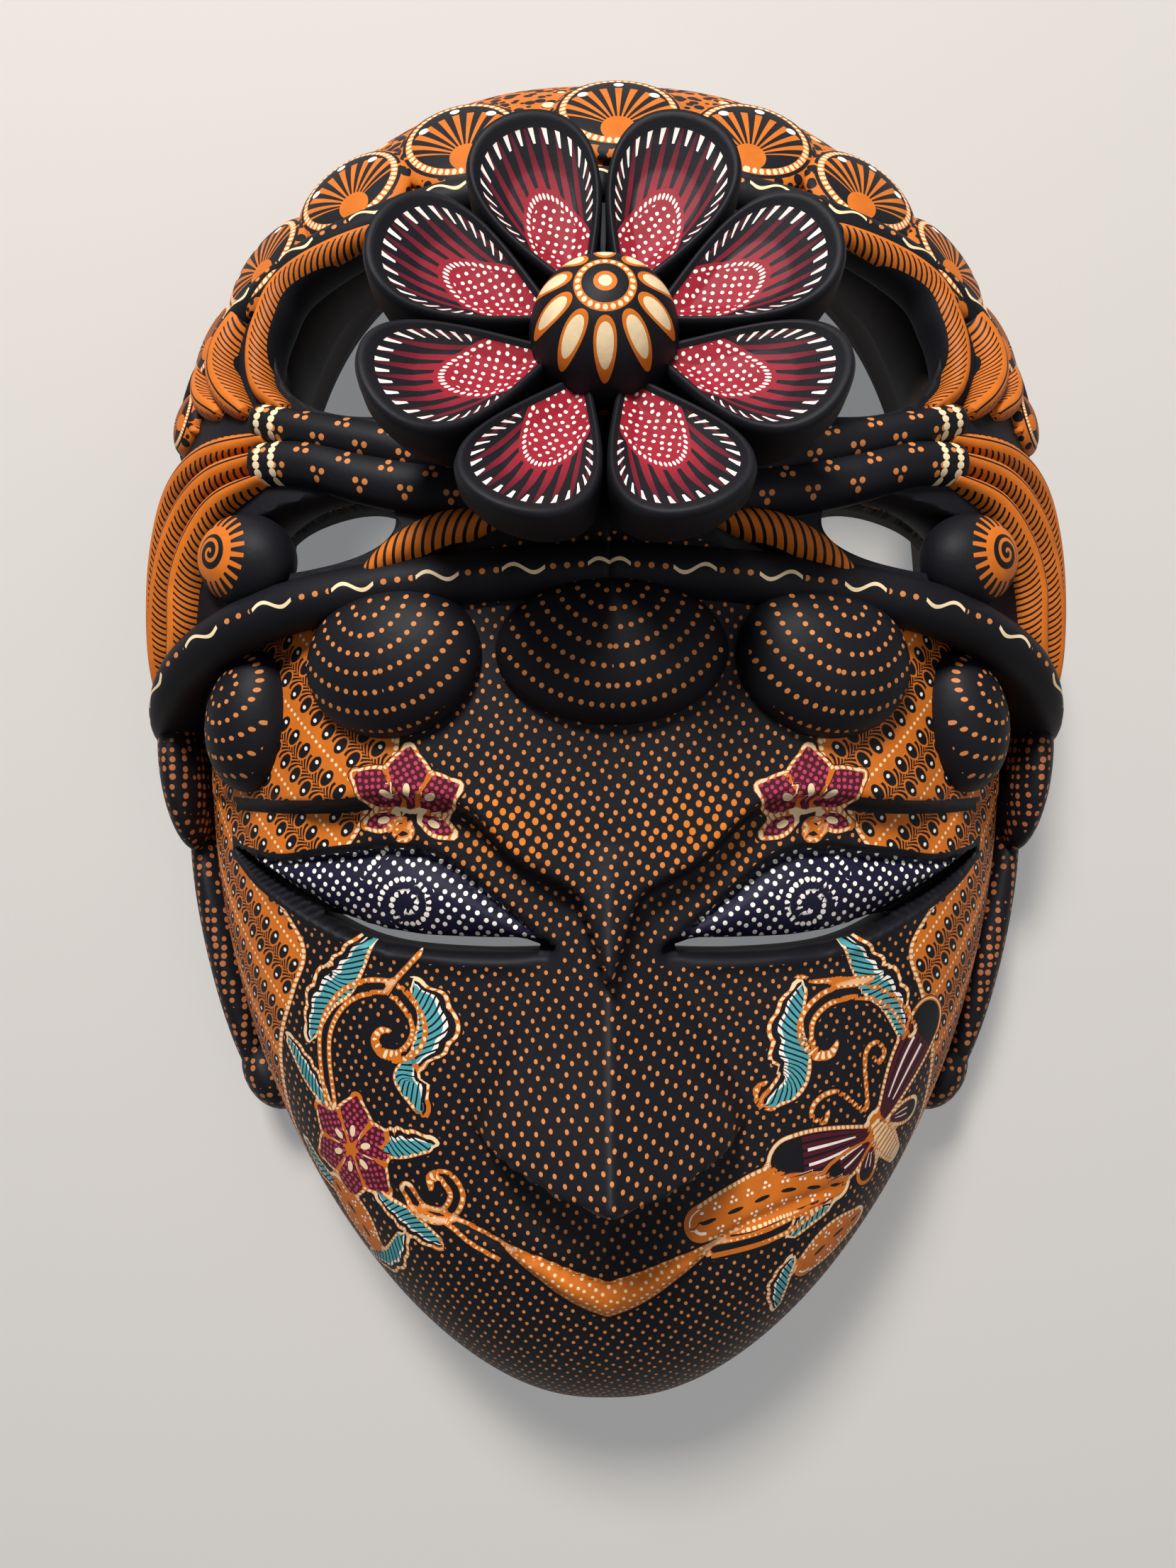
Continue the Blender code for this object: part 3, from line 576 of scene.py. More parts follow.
def leaf_paint():
    p = Painter("burnt_orange_feather_strokes")
    along, across, comb = [p.measure(k) for k in ("along", "across", "comb")]
    both = p.add("GREATER_THAN", comb, 1.5)
    one_sided = p.add("MULTIPLY", across, comb)
    two_sided = p.add("SUBTRACT", p.add("ABSOLUTE", across), COMB_START)
    fringe = p.add("Mix", both, one_sided, two_sided)
    slanted = p.add("SUBTRACT", along, p.add("MULTIPLY", p.add("ABSOLUTE", fringe), COMB_SLANT))
    gap = p.add("ABSOLUTE", p.add("WRAP", slanted, COMB_PITCH / 2, -COMB_PITCH / 2))
    finger = p.add("MULTIPLY", p.add("GREATER_THAN", gap, COMB_GAP), p.between(fringe, 0.0, COMB_REACH))
    solid = p.between(fringe, -RIB_SOLID, 0.1)
    colour = p.over(BLACK, p.add("MAXIMUM", solid, finger), ORANGE)
    rib = p.below(p.add("ABSOLUTE", p.add("SUBTRACT", across, RIB_PLACE)), RIB_HALF_WIDTH)
    colour = p.over(colour, p.add("MULTIPLY", rib, both), BLACK)
    stroke = p.add("ADD", along, p.add("MULTIPLY", across, TONGUE_SLANT))
    stroke = p.add("ABSOLUTE", p.add("WRAP", stroke, TONGUE_PITCH / 2, -TONGUE_PITCH / 2))
    near_rib = p.below(p.add("ABSOLUTE", across), TONGUE_REACH)
    tongue = p.add("MULTIPLY", p.below(stroke, TONGUE_HALF_WIDTH), near_rib)
    return p.finish(p.over(colour, p.below(p.add("ABSOLUTE", comb), 0.5), p.over(BLACK, tongue, ORANGE)))


def arm_paint():
    p = Painter("indigo_black_with_three_dot_marks")
    along, across = p.measure("along"), p.measure("across")
    shifted = p.add("ADD", along, p.add("MULTIPLY", p.add("SIGN", across), MARK_PITCH / 4))
    cell_a = p.add("WRAP", shifted, MARK_PITCH / 2, -MARK_PITCH / 2)
    cell_b = p.add("SUBTRACT", p.add("ABSOLUTE", across), MARK_ROW)
    colour = BLACK
    for shift_a, shift_b in MARK_DOTS:
        gap = p.length(p.add("SUBTRACT", cell_a, shift_a), p.add("SUBTRACT", cell_b, shift_b))
        colour = p.over(colour, p.below(gap, MARK_DOT_RADIUS), DOT_ORANGE)
    for place in CUFF_PLACES:
        bar = p.row_of_dots(across, p.add("SUBTRACT", along, place), CUFF_PITCH, CUFF_DOT_RADIUS)
        colour = p.over(colour, bar, CREAM)
    return p.finish(colour)


def band_paint():
    p = Painter("indigo_black_with_cream_waves")
    along, across = p.measure("along"), p.measure("across")
    place = p.add("WRAP", along, WAVE_PITCH / 2, -WAVE_PITCH / 2)
    wave = p.add("MULTIPLY", p.add("SINE", p.add("MULTIPLY", place, WAVE_TURN)), WAVE_RISE)
    stroke = p.below(p.add("ABSOLUTE", p.add("SUBTRACT", across, wave)), WAVE_HALF_STROKE)
    from_middle = p.add("ABSOLUTE", place)
    colour = p.over(BLACK, p.add("MULTIPLY", stroke, p.below(from_middle, WAVE_HALF_LENGTH)), CREAM)
    dots = p.row_of_dots(along, across, BAND_DOT_PITCH, BAND_DOT_RADIUS)
    dots = p.add("MULTIPLY", dots, p.between(from_middle, BAND_DOTS_FROM, BAND_DOTS_TO))
    return p.finish(p.over(colour, dots, DOT_ORANGE))


def curl_paint():
    p = Painter("indigo_black_with_dotted_arcs")
    right, up, size = p.measure("right"), p.measure("up"), p.measure("size")
    lifted = p.add("SUBTRACT", up, p.add("MULTIPLY", size, 0.62))
    radius = p.length(right, lifted)
    ring = p.add("ROUND", p.add("DIVIDE", radius, ARC_PITCH))
    ring_radius = p.add("MULTIPLY", ring, ARC_PITCH)
    arc = p.add("MULTIPLY", p.add("ARCTAN2", right, lifted), ring_radius)
    ring_off = p.add("SUBTRACT", radius, ring_radius)
    dots = p.row_of_dots(arc, ring_off, ARC_DOT_PITCH, ARC_DOT_RADIUS)
    dots = p.add("MULTIPLY", dots, p.below(p.measure("rim"), 0.94))
    return p.finish(p.over(BLACK, dots, DOT_ORANGE))


def scallop_paint():
    p = Painter("orange_fans_in_dotted_arches")
    right, up, size = p.measure("right"), p.measure("up"), p.measure("size")
    lowered = p.add("ADD", up, p.add("MULTIPLY", size, 0.55))
    reach = p.add("DIVIDE", p.length(right, lowered), size)
    angle = p.add("ARCTAN2", right, lowered)
    ray = p.add("ABSOLUTE", p.add("WRAP", angle, FAN_RAY_TURN, -FAN_RAY_TURN))
    opened = p.below(p.add("ABSOLUTE", angle), FAN_HALF_ANGLE)
    fan = p.add("MULTIPLY", p.below(reach, 1.02), opened)
    fan = p.add("MULTIPLY", p.below(ray, FAN_RAY_HALF_WIDTH), fan)
    colour = p.over(p.over(BLACK, fan, ORANGE), p.below(reach, 0.24), ORANGE)
    radius = p.add("DIVIDE", p.length(right, up), size)
    turn = p.add("ARCTAN2", right, up)
    spot = p.row_of_dots(p.add("MULTIPLY", turn, 0.62), p.add("SUBTRACT", radius, 0.6), 0.62, 0.075)
    colour = p.over(colour, p.add("MULTIPLY", spot, p.below(p.add("ABSOLUTE", turn), 1.7)), WHITE)
    off = p.add("SUBTRACT", radius, 0.78)
    colour = p.over(colour, p.below(p.add("ABSOLUTE", off), 0.05), ORANGE)
    colour = p.over(colour, p.row_of_dots(turn, off, 0.13, 0.045), CREAM)
    cells = p.over(ORANGE, p.solid_spots(MOTTLE_PITCH, 1.05, 0.9), BLACK)
    colour = p.over(colour, p.add("GREATER_THAN", radius, 0.88), cells)
    return p.finish(colour)


def petal_paint():
    p = Painter("crimson_petals_with_white_dots")
    out, across, rim, arc = [p.measure(k) for k in ("out", "across", "rim", "arc")]
    ray = p.add("ARCTAN2", across, p.add("SUBTRACT", out, 2.0))
    hatch = p.add("ABSOLUTE", p.add("WRAP", ray, HATCH_TURN, -HATCH_TURN))
    growing = p.add("MapRange", rim, 0.2, 0.8, 0.2 * HATCH_TURN, 0.8 * HATCH_TURN)
    colour = p.add("Mix", p.add("MapRange", rim, 0.3, 0.75, 0.0, 1.0), RED, MAROON, data_type="RGBA")
    colour = p.over(colour, p.below(p.add("SUBTRACT", hatch, growing), 0.0), BLACK)
    heart_out = p.add("DIVIDE", p.add("SUBTRACT", out, HEART_OUT), HEART_LENGTH)
    heart = p.length(heart_out, p.add("DIVIDE", across, HEART_WIDTH))
    colour = p.over(colour, p.below(heart, 1.12), RED)
    heart_dots = p.add("MULTIPLY", p.scattered_dots(out, across, 1.35, 0.3), p.below(heart, 0.86))
    colour = p.over(colour, heart_dots, WHITE)
    angle = p.add("ARCTAN2", p.add("DIVIDE", across, HEART_WIDTH), heart_out)
    edge_off = p.add("MULTIPLY", p.add("SUBTRACT", heart, 0.98), 5.5)
    colour = p.over(colour, p.row_of_dots(p.add("MULTIPLY", angle, 7.0), edge_off, 0.98, 0.3), WHITE)
    colour = p.over(colour, p.add("GREATER_THAN", rim, TICK_OUTER), BLACK)
    slant = p.add("MINIMUM", p.add("MULTIPLY", arc, 0.9), 13.0)
    slanted = p.add("SUBTRACT", arc, p.add("MULTIPLY", p.add("SUBTRACT", TICK_OUTER, rim), slant))
    width = p.add("MapRange", rim, TICK_INNER, TICK_OUTER, 0.24, 0.5)
    near = p.add("ABSOLUTE", p.add("WRAP", slanted, TICK_PITCH / 2, -TICK_PITCH / 2))
    tick = p.below(p.add("SUBTRACT", near, width), 0.0)
    ticks = p.add("MULTIPLY", tick, p.between(rim, TICK_INNER, TICK_OUTER))
    ticks = p.add("MULTIPLY", ticks, p.below(arc, TICK_END))
    return p.finish(p.over(colour, ticks, WHITE))


def boss_paint():
    p = Painter("indigo_black_boss_with_cream_drops")
    right, up, size = p.measure("right"), p.measure("up"), p.measure("size")
    radius = p.add("DIVIDE", p.length(right, up), size)
    angle = p.add("ARCTAN2", right, up)
    off = p.add("MULTIPLY", p.add("WRAP", angle, math.pi / 10, -math.pi / 10), radius)
    drop = p.length(p.add("DIVIDE", off, 0.12), p.add("DIVIDE", p.add("SUBTRACT", radius, 0.7), 0.21))
    colour = p.over(p.over(BLACK, p.below(drop, 1.25), ORANGE), p.below(drop, 0.92), CREAM)
    ring_off = p.add("SUBTRACT", radius, 0.35)
    colour = p.over(colour, p.below(p.add("ABSOLUTE", ring_off), 0.05), ORANGE)
    colour = p.over(colour, p.row_of_dots(p.add("MULTIPLY", angle, 0.35), ring_off, 0.1, 0.034), CREAM)
    colour = p.over(colour, p.below(radius, 0.15), ORANGE)
    return p.finish(p.over(colour, p.below(radius, 0.085), CREAM))


def scroll_paint():
    p = Painter("orange_spiral_on_indigo_black")
    right, up, size, side = [p.measure(k) for k in ("right", "up", "size", "side")]
    inward = p.add("SUBTRACT", p.add("MULTIPLY", size, 0.25), p.add("MULTIPLY", right, side))
    radius = p.add("DIVIDE", p.length(inward, up), size)
    angle = p.add("ARCTAN2", up, inward)
    stroke = p.add("ABSOLUTE", p.add("WRAP", angle, 0.15, -0.15))
    reach = p.add("MapRange", stroke, 0.05, 0.09, 0.74, 0.5)
    rays = p.below(p.add("SUBTRACT", radius, reach), 0.0)
    rays = p.add("MULTIPLY", rays, p.below(p.add("ABSOLUTE", angle), 2.0))
    colour = p.over(BLACK, p.add("MAXIMUM", rays, p.below(radius, 0.5)), ORANGE)
    colour = p.over(colour, p.below(radius, 0.34), BLACK)
    turned = p.add("SUBTRACT", radius, p.add("MULTIPLY", angle, 0.03))
    winding = p.below(p.add("ABSOLUTE", p.add("WRAP", turned, 0.0942, -0.0942)), 0.035)
    return p.finish(p.over(colour, p.add("MULTIPLY", winding, p.below(radius, 0.34)), ORANGE))


def ear_paint():
    p = Painter("indigo_black_with_dotted_hair_lines")
    return p.finish(p.over(BLACK, p.solid_spots(HAIR_DOT_PITCH, HAIR_DOT_RADIUS, 0.25), HAIR_DOT))


def plain_paint():
    p = Painter("indigo_black_dye")
    return p.finish(p.over(BLACK, 0.0, DEEP))


# %% [markdown]
# The headdress forms. Leaves, arms and bands are ridges swept over the crown, curls and scallops
# are low lumps, and each petal is a dished spoon on a wall that narrows down to the stem, so deep
# shadows part it from its neighbours.

# %% Forms of the headdress
def leaf_taper(share):
    return math.sin(math.pi * (0.06 + 0.88 * share)) ** 0.6


def arm_taper(share):
    return 0.72 + 0.28 * share


def band_taper(share):
    return 1.0 - 0.3 * share ** 3


def both_sides(paths, sink, taper):
    return [ridge(crown_height, *path, sink, taper, mirror) for path in paths for mirror in (False, True)]


def with_measure(forms, name, values):
    """The same forms, each with one more measure that is the same all over it."""
    for form, value in zip(forms, values):
        form[2][name] = np.full(len(form[0]), float(value))
    return forms


PETAL_AROUND = 96
PETAL_FACE_RINGS = 34
PETAL_WALL_SHARES = [1.0, 0.99, 0.95, 0.86, 0.74, 0.62]
PETAL_WALL_DROPS = [-3.0, -6.0, -10.0, -0.62 * FLOWER_DEPTH, -18.0, -FLOWER_DEPTH]
PETAL_WALL_MARK = 1.2


def petal(index, placing):
    turns = np.linspace(0, 2 * math.pi, PETAL_AROUND, endpoint=False)
    out = (1 - np.cos(turns)) / 2
    wide = np.sin(turns) * (0.06 + 0.94 * out) ** 0.8 * 1.12
    outline = np.stack([PETAL_INNER + (FLOWER_RADIUS - PETAL_INNER) * out, PETAL_HALF_WIDTH * wide], axis=1)
    middle = np.array([(FLOWER_RADIUS + PETAL_INNER) * 0.5, 0.0])
    face_shares = np.linspace(0.02, 1.0, PETAL_FACE_RINGS)
    shares = np.concatenate([face_shares, PETAL_WALL_SHARES])
    drops = np.interp(face_shares, [0.0, 0.5, 0.8, 0.91, 0.97, 1.0],
                      [-PETAL_DISH, -0.85 * PETAL_DISH, -0.35 * PETAL_DISH, 0.0, -0.3, -1.6])
    drops = np.concatenate([drops, PETAL_WALL_DROPS])
    turned = placing @ Matrix.Rotation(2 * math.pi * (index + 0.5) / PETALS, 4, "Z")
    walked = np.concatenate([[0], np.cumsum(np.linalg.norm(np.diff(outline, axis=0), axis=1))])
    rings, measures = [], {"out": [], "across": [], "rim": [], "arc": []}
    for number, (share, drop) in enumerate(zip(shares, drops)):
        inward = 1.0 - 0.3 * smoothstep(0.3, 1.0, -drop / FLOWER_DEPTH)
        flat = (middle + (outline - middle) * share) * [inward, 1.0]
        lift = PETAL_LIFT * (flat[:, 0] / FLOWER_RADIUS) ** 1.5
        rings.append([turned @ Vector((a, b, drop + up)) for (a, b), up in zip(flat, lift)])
        measures["out"].append(flat[:, 0])
        measures["across"].append(flat[:, 1])
        mark = share if number < PETAL_FACE_RINGS else PETAL_WALL_MARK
        measures["rim"].append(np.full(PETAL_AROUND, mark))
        measures["arc"].append(np.abs(walked - walked[PETAL_AROUND // 2]))
    points, faces = loft(np.array(rings))
    faces = [face[::-1] for face in faces]
    return clear_of_hollow(points), faces, {key: np.concatenate(values) for key, values in measures.items()}


COMB_KINDS = [-1, 2, 2, 2, 2, 2, 2, 0]
leaves = with_measure(both_sides(LEAVES, 5.0, leaf_taper), "comb", np.repeat(COMB_KINDS, 2))
joined("leaves", leaves, leaf_paint())
joined("arms", both_sides(ARMS, 5.0, arm_taper), arm_paint())
headbands = both_sides([(HEADBAND, HEADBAND_HALF_WIDTH, 5.0)], 6.0, band_taper)
crown_bands = both_sides([(CROWN_BAND, 3.4, 3.2)], 4.0, band_taper)
joined("bands", headbands + crown_bands, band_paint())
curls = []
for number, (x, y, wide, tall, turn) in enumerate(CURLS):
    for sign in (1, -1) if number else (1,):
        curls.append(lump_on(face_height, sign * x, y, (wide, tall, CURL_RISE), sign * turn))
joined("hair_curls", curls, curl_paint())
scallops = []
for number, (x, y, radius) in enumerate(SCALLOPS):
    for sign in (1, -1) if number else (1,):
        outward = -math.degrees(math.atan2(sign * x, y - CROWN_WIDEST_Y))
        scallops.append(lump_on(crown_height, sign * x, y, (radius, radius, SCALLOP_RISE), outward))
joined("crown_scallops", scallops, scallop_paint())
scrolls = []
for sign in (1, -1):
    x, y, wide, tall, lift, turn = SCROLL_BALL
    scrolls.append(lump_on(crown_height, sign * x, y, (wide, tall, lift + 2), sign * turn))
joined("scroll_ends", with_measure(scrolls, "side", (1, -1)), scroll_paint())
ears = []
for sign in (1, -1):
    for x, y, z, thick, long, deep, turn in (EAR, EAR_LOBE, SIDE_LOCK):
        ears.append(lump((sign * x, y, z), (thick, long, deep), -sign * turn, Vector((0, 0, 1))))
joined("ears_and_side_locks", ears, ear_paint())
tilted = Matrix.Rotation(math.radians(-FLOWER_TILT), 4, "X")
placing = Matrix.Translation((*FLOWER_PLACE, CROWN_HEIGHT + FLOWER_STAND)) @ tilted
joined("petals", [petal(index, placing) for index in range(PETALS)], petal_paint())
flower_axis = (placing.to_3x3() @ Vector((0, 0, 1))).normalized()
boss = lump(placing.translation, (BOSS_RADIUS, BOSS_RADIUS, BOSS_RISE), 0, flower_axis)
joined("boss", [boss], boss_paint())
stem_rings = []
for radius, depth in ((STEM_RADIUS - 6, -7), (STEM_RADIUS - 3, -20), (STEM_RADIUS + 3, -41)):
    angle = np.linspace(0, 2 * math.pi, 64, endpoint=False)
    stem_rings.append([placing @ Vector((radius * math.cos(a), radius * math.sin(a), depth)) for a in angle])
stem_points, stem_faces = loft(np.array(stem_rings))
joined("stem", [(clear_of_hollow(stem_points), stem_faces, {})], plain_paint())


# %% [markdown]
# The painter's drawing on the face. It is worked out on the face's skin laid flat, so dots stay
# round down the cheeks. A leaf is a bent spine with a width, a scroll is a spiral, and each point
# keeps its distance to both.

# %% The drawing on the face
PANEL_EDGE = [
    (36, 20), (36, -2), (41, -10), (47, -20), (60, -27), (55, -38), (57.5, -46),
    (61, -56), (61.5, -66), (60, -76), (55, -86), (46, -98), (30, -120),
]
FEATHER, PETAL, WING, FAN, BODY = range(5)
SHAPES = {
    FEATHER: (0.2, 0.05, 0.87),
    PETAL: (0, 0.12, 0.84),
    WING: (0.3, 0, 0.62),
    FAN: (0.4, 0.05, 0.87),
    BODY: (0.4, 0.1, 0.8),
}
PAIRED_LEAVES = [
    (FEATHER, [(53.3, -53.7), (49.7, -48.1), (45.7, -44.6), (42.1, -36.8)], 6.2, -1),
    (PETAL, [(34.4, -11.2), (33.8, -2.6)], 3.7, 1),
    (PETAL, [(36.4, -11.0), (43.2, -6.8)], 3.1, 1),
    (PETAL, [(32.2, -11.2), (25.6, -8.8)], 3.1, 1),
    (PETAL, [(37.5, -14.2), (42.5, -15.4)], 1.2, 1),
    (PETAL, [(32, -14.4), (27, -17)], 1.2, 1),
]
LEFT_LEAVES = [
    (FEATHER, [(-33.9, -44.4), (-32.4, -49.3), (-34, -56)], 6.0, 1),
    (FEATHER, [(-35, -56.6), (-37, -60.2), (-33.6, -65)], 5.4, 1),
    (FEATHER, [(-59, -56), (-55.5, -62.5), (-51.5, -67)], 3.4, 1),
    (FEATHER, [(-43, -73.4), (-37.3, -74), (-31.5, -72.2)], 4.4, 1),
    (FEATHER, [(-40.6, -82.7), (-35.4, -85), (-30.1, -89.4)], 3.6, -1),
    (FEATHER, [(-44.5, -97), (-41, -95), (-37.5, -90)], 4.0, -1),
    (FEATHER, [(-57, -76.3), (-54.3, -80), (-50.5, -83)], 3.2, -1),
    (FAN, [(-50.5, -83.5), (-46.5, -89), (-43.5, -94)], 3.6, 1),
]
RIGHT_LEAVES = [
    (FEATHER, [(34.1, -44.5), (33.3, -50.5), (34.9, -57.5), (33.3, -62.1), (29, -64.1)], 6.0, -1),
    (WING, [(50.6, -68.1), (54.7, -59.8), (59.1, -52.5)], 4.4, 1),
    (WING, [(46.8, -72), (39.5, -73.7), (32.5, -74.8)], 4.2, 1),
    (WING, [(47.2, -73.4), (41, -77.4)], 3.2, 1),
    (WING, [(52.5, -69.8), (56.8, -69)], 1.8, 1),
    (WING, [(48.2, -74.9), (47.6, -79.4)], 1.8, 1),
    (FAN, [(41.4, -80.6), (31.2, -80), (23.6, -82.4), (16.5, -84.6)], 4.4, 1),
    (FEATHER, [(39.6, -85), (33.5, -88.7)], 3.4, -1),
    (FAN, [(46.4, -89.1), (41.4, -91.8), (36.2, -95.9)], 3.2, 1),
    (FEATHER, [(33.4, -94.5), (31.4, -103.7)], 3.4, -1),
    (BODY, [(48.6, -69.4), (50, -72), (54, -77.5)], 2.0, 1),
]
FLOWER_ON_CHEEK = (-46.5, -74.5)
FLOWER_PETALS = 6
FLOWER_PETAL_REACH = 10.0
LEFT_DOUBLE_LINES = [
    [
        (-50.4, -66.2), (-51.2, -57.7), (-50.6, -51.9), (-47.7, -47), (-43.3, -44.4),
        (-38.1, -44.2), (-34.4, -47.6), (-33, -51.1), (-34, -54.2), (-36.8, -56.2),
        (-40.1, -55.5), (-41.2, -53.4), (-40, -51.7), (-38.4, -51.8),
    ],
    [
        (-35.7, -80.4), (-33.1, -84.3), (-28.7, -84.4), (-26.5, -80.6),
        (-28.4, -77.4), (-31.1, -77.5), (-31.2, -79.7),
    ],
]
RIGHT_DOUBLE_LINES = [
    [(55.7, -53.2), (51.5, -47.8), (45.7, -45.1), (39.2, -45.6), (35.3, -48.7), (34.6, -52.4), (36.6, -55.8),
     (39.3, -55.9), (40.5, -53.9)],
    [(18.4, -90), (28.5, -88.1), (38.4, -84.2)],
]
LEFT_LINES = [
    [(-32.9, -37.9), (-38.6, -44)],
    [(-19.1, -91.9), (-24.3, -89.1), (-28.6, -85.9), (-35.4, -83.7)],
]
RIGHT_LINES = [
    [(47.4, -42.8), (41.4, -42.4), (36.5, -42.8), (32.6, -41.6)],
    [(29, -65.1), (26.2, -64), (25.7, -61.2), (27.6, -60.4)],
    [(46.9, -66.5), (46, -57), (48, -54.6), (50, -56.4), (49, -58.4), (47.8, -57.4)],
    [(46, -67.2), (40.7, -62.9), (36.7, -64.2), (36, -67), (38.4, -68.2), (39, -66.2)],
]
PAIRED_LINES = [
    [(43, -24), (40.5, -21), (39, -19.6)],
    [(36, 6), (35.6, 1)],
]
MOUTH_LINES = [
    [(x, float(height_of_line(MOUTH_LINE, x))) for x in (0, 6, 12, 18.4, 24, 30)],
    [(x, float(lip_bottom(np.float64(x)))) for x in (0, 4, 8, 12, 15, 18.4)],
]
SPIRALS = [(35.3, -29.6, 5.2, 0.9, 1.9), (36, -16.6, 2.6, 0.6, 1.5)]
LINE_GAP = 1.15


def skin_table():
    """Length over the face's plain dome from its middle line, for every x and y."""
    x = np.arange(0, 90, 0.5)
    y = np.arange(-140, 62, 1.0)
    grid_x, grid_y = np.meshgrid(x, y)
    z = face_base(grid_x, grid_y)
    step = np.minimum(np.hypot(np.diff(grid_x, axis=1), np.diff(z, axis=1)), 3.0)
    across = np.concatenate([np.zeros((len(y), 1)), np.cumsum(step, axis=1)], axis=1)
    middle = face_base(np.zeros(len(y)), y)
    down = np.concatenate([[0], np.cumsum(np.minimum(np.hypot(np.diff(y), np.diff(middle)), 3.0))])
    return x, y, across, down - np.interp(0, y, down)


TABLE_X, TABLE_Y, ACROSS, DOWN = skin_table()


def on_skin(x, y):
    """Places on the face as seen from the front, laid flat in millimetres of skin."""
    column = np.clip(np.abs(x) / 0.5, 0, len(TABLE_X) - 1.001)
    row = np.clip(y - TABLE_Y[0], 0, len(TABLE_Y) - 1.001)
    i, j = row.astype(int), column.astype(int)
    a, b = row - i, column - j
    low = ACROSS[i, j] * (1 - b) + ACROSS[i, j + 1] * b
    high = ACROSS[i + 1, j] * (1 - b) + ACROSS[i + 1, j + 1] * b
    return np.sign(x) * (low * (1 - a) + high * a), np.interp(y, TABLE_Y, DOWN)


def drawn(points, mirror=1):
    line = spline(points, max(12, 8 * len(points)))
    u, v = on_skin(line[:, 0] * mirror, line[:, 1])
    return np.stack([u, v], axis=1)


def spiral(x, y, outer, inner, turns, mirror=1):
    u, v = on_skin(np.array([x * mirror]), np.array([y]))
    angle = np.linspace(0, 2 * math.pi * turns, 60)
    radius = np.linspace(outer, inner, 60)
    return np.stack([u + mirror * radius * np.cos(angle), v + radius * np.sin(angle)], axis=1)


def nearest(points, line):
    """Distance to a line, how far along it the nearest place is, and on which side (1 is its left)."""
    walked = np.concatenate([[0], np.cumsum(np.linalg.norm(np.diff(line, axis=0), axis=1))])
    distance = np.full(len(points), 1e3)
    along = np.zeros(len(points))
    left = np.ones(len(points))
    for start, end, base in zip(line, line[1:], walked):
        reach = end - start
        share = np.clip((points - start) @ reach / max(reach @ reach, 1e-9), 0, 1)
        away = points - start - share[:, None] * reach
        gap = np.linalg.norm(away, axis=1)
        closer = gap < distance
        distance[closer] = gap[closer]
        along[closer] = base + share[closer] * math.sqrt(reach @ reach)
        left[closer] = np.where(reach[0] * away[closer, 1] - reach[1] * away[closer, 0] >= 0, 1, -1)
    return distance, along, left, walked[-1]


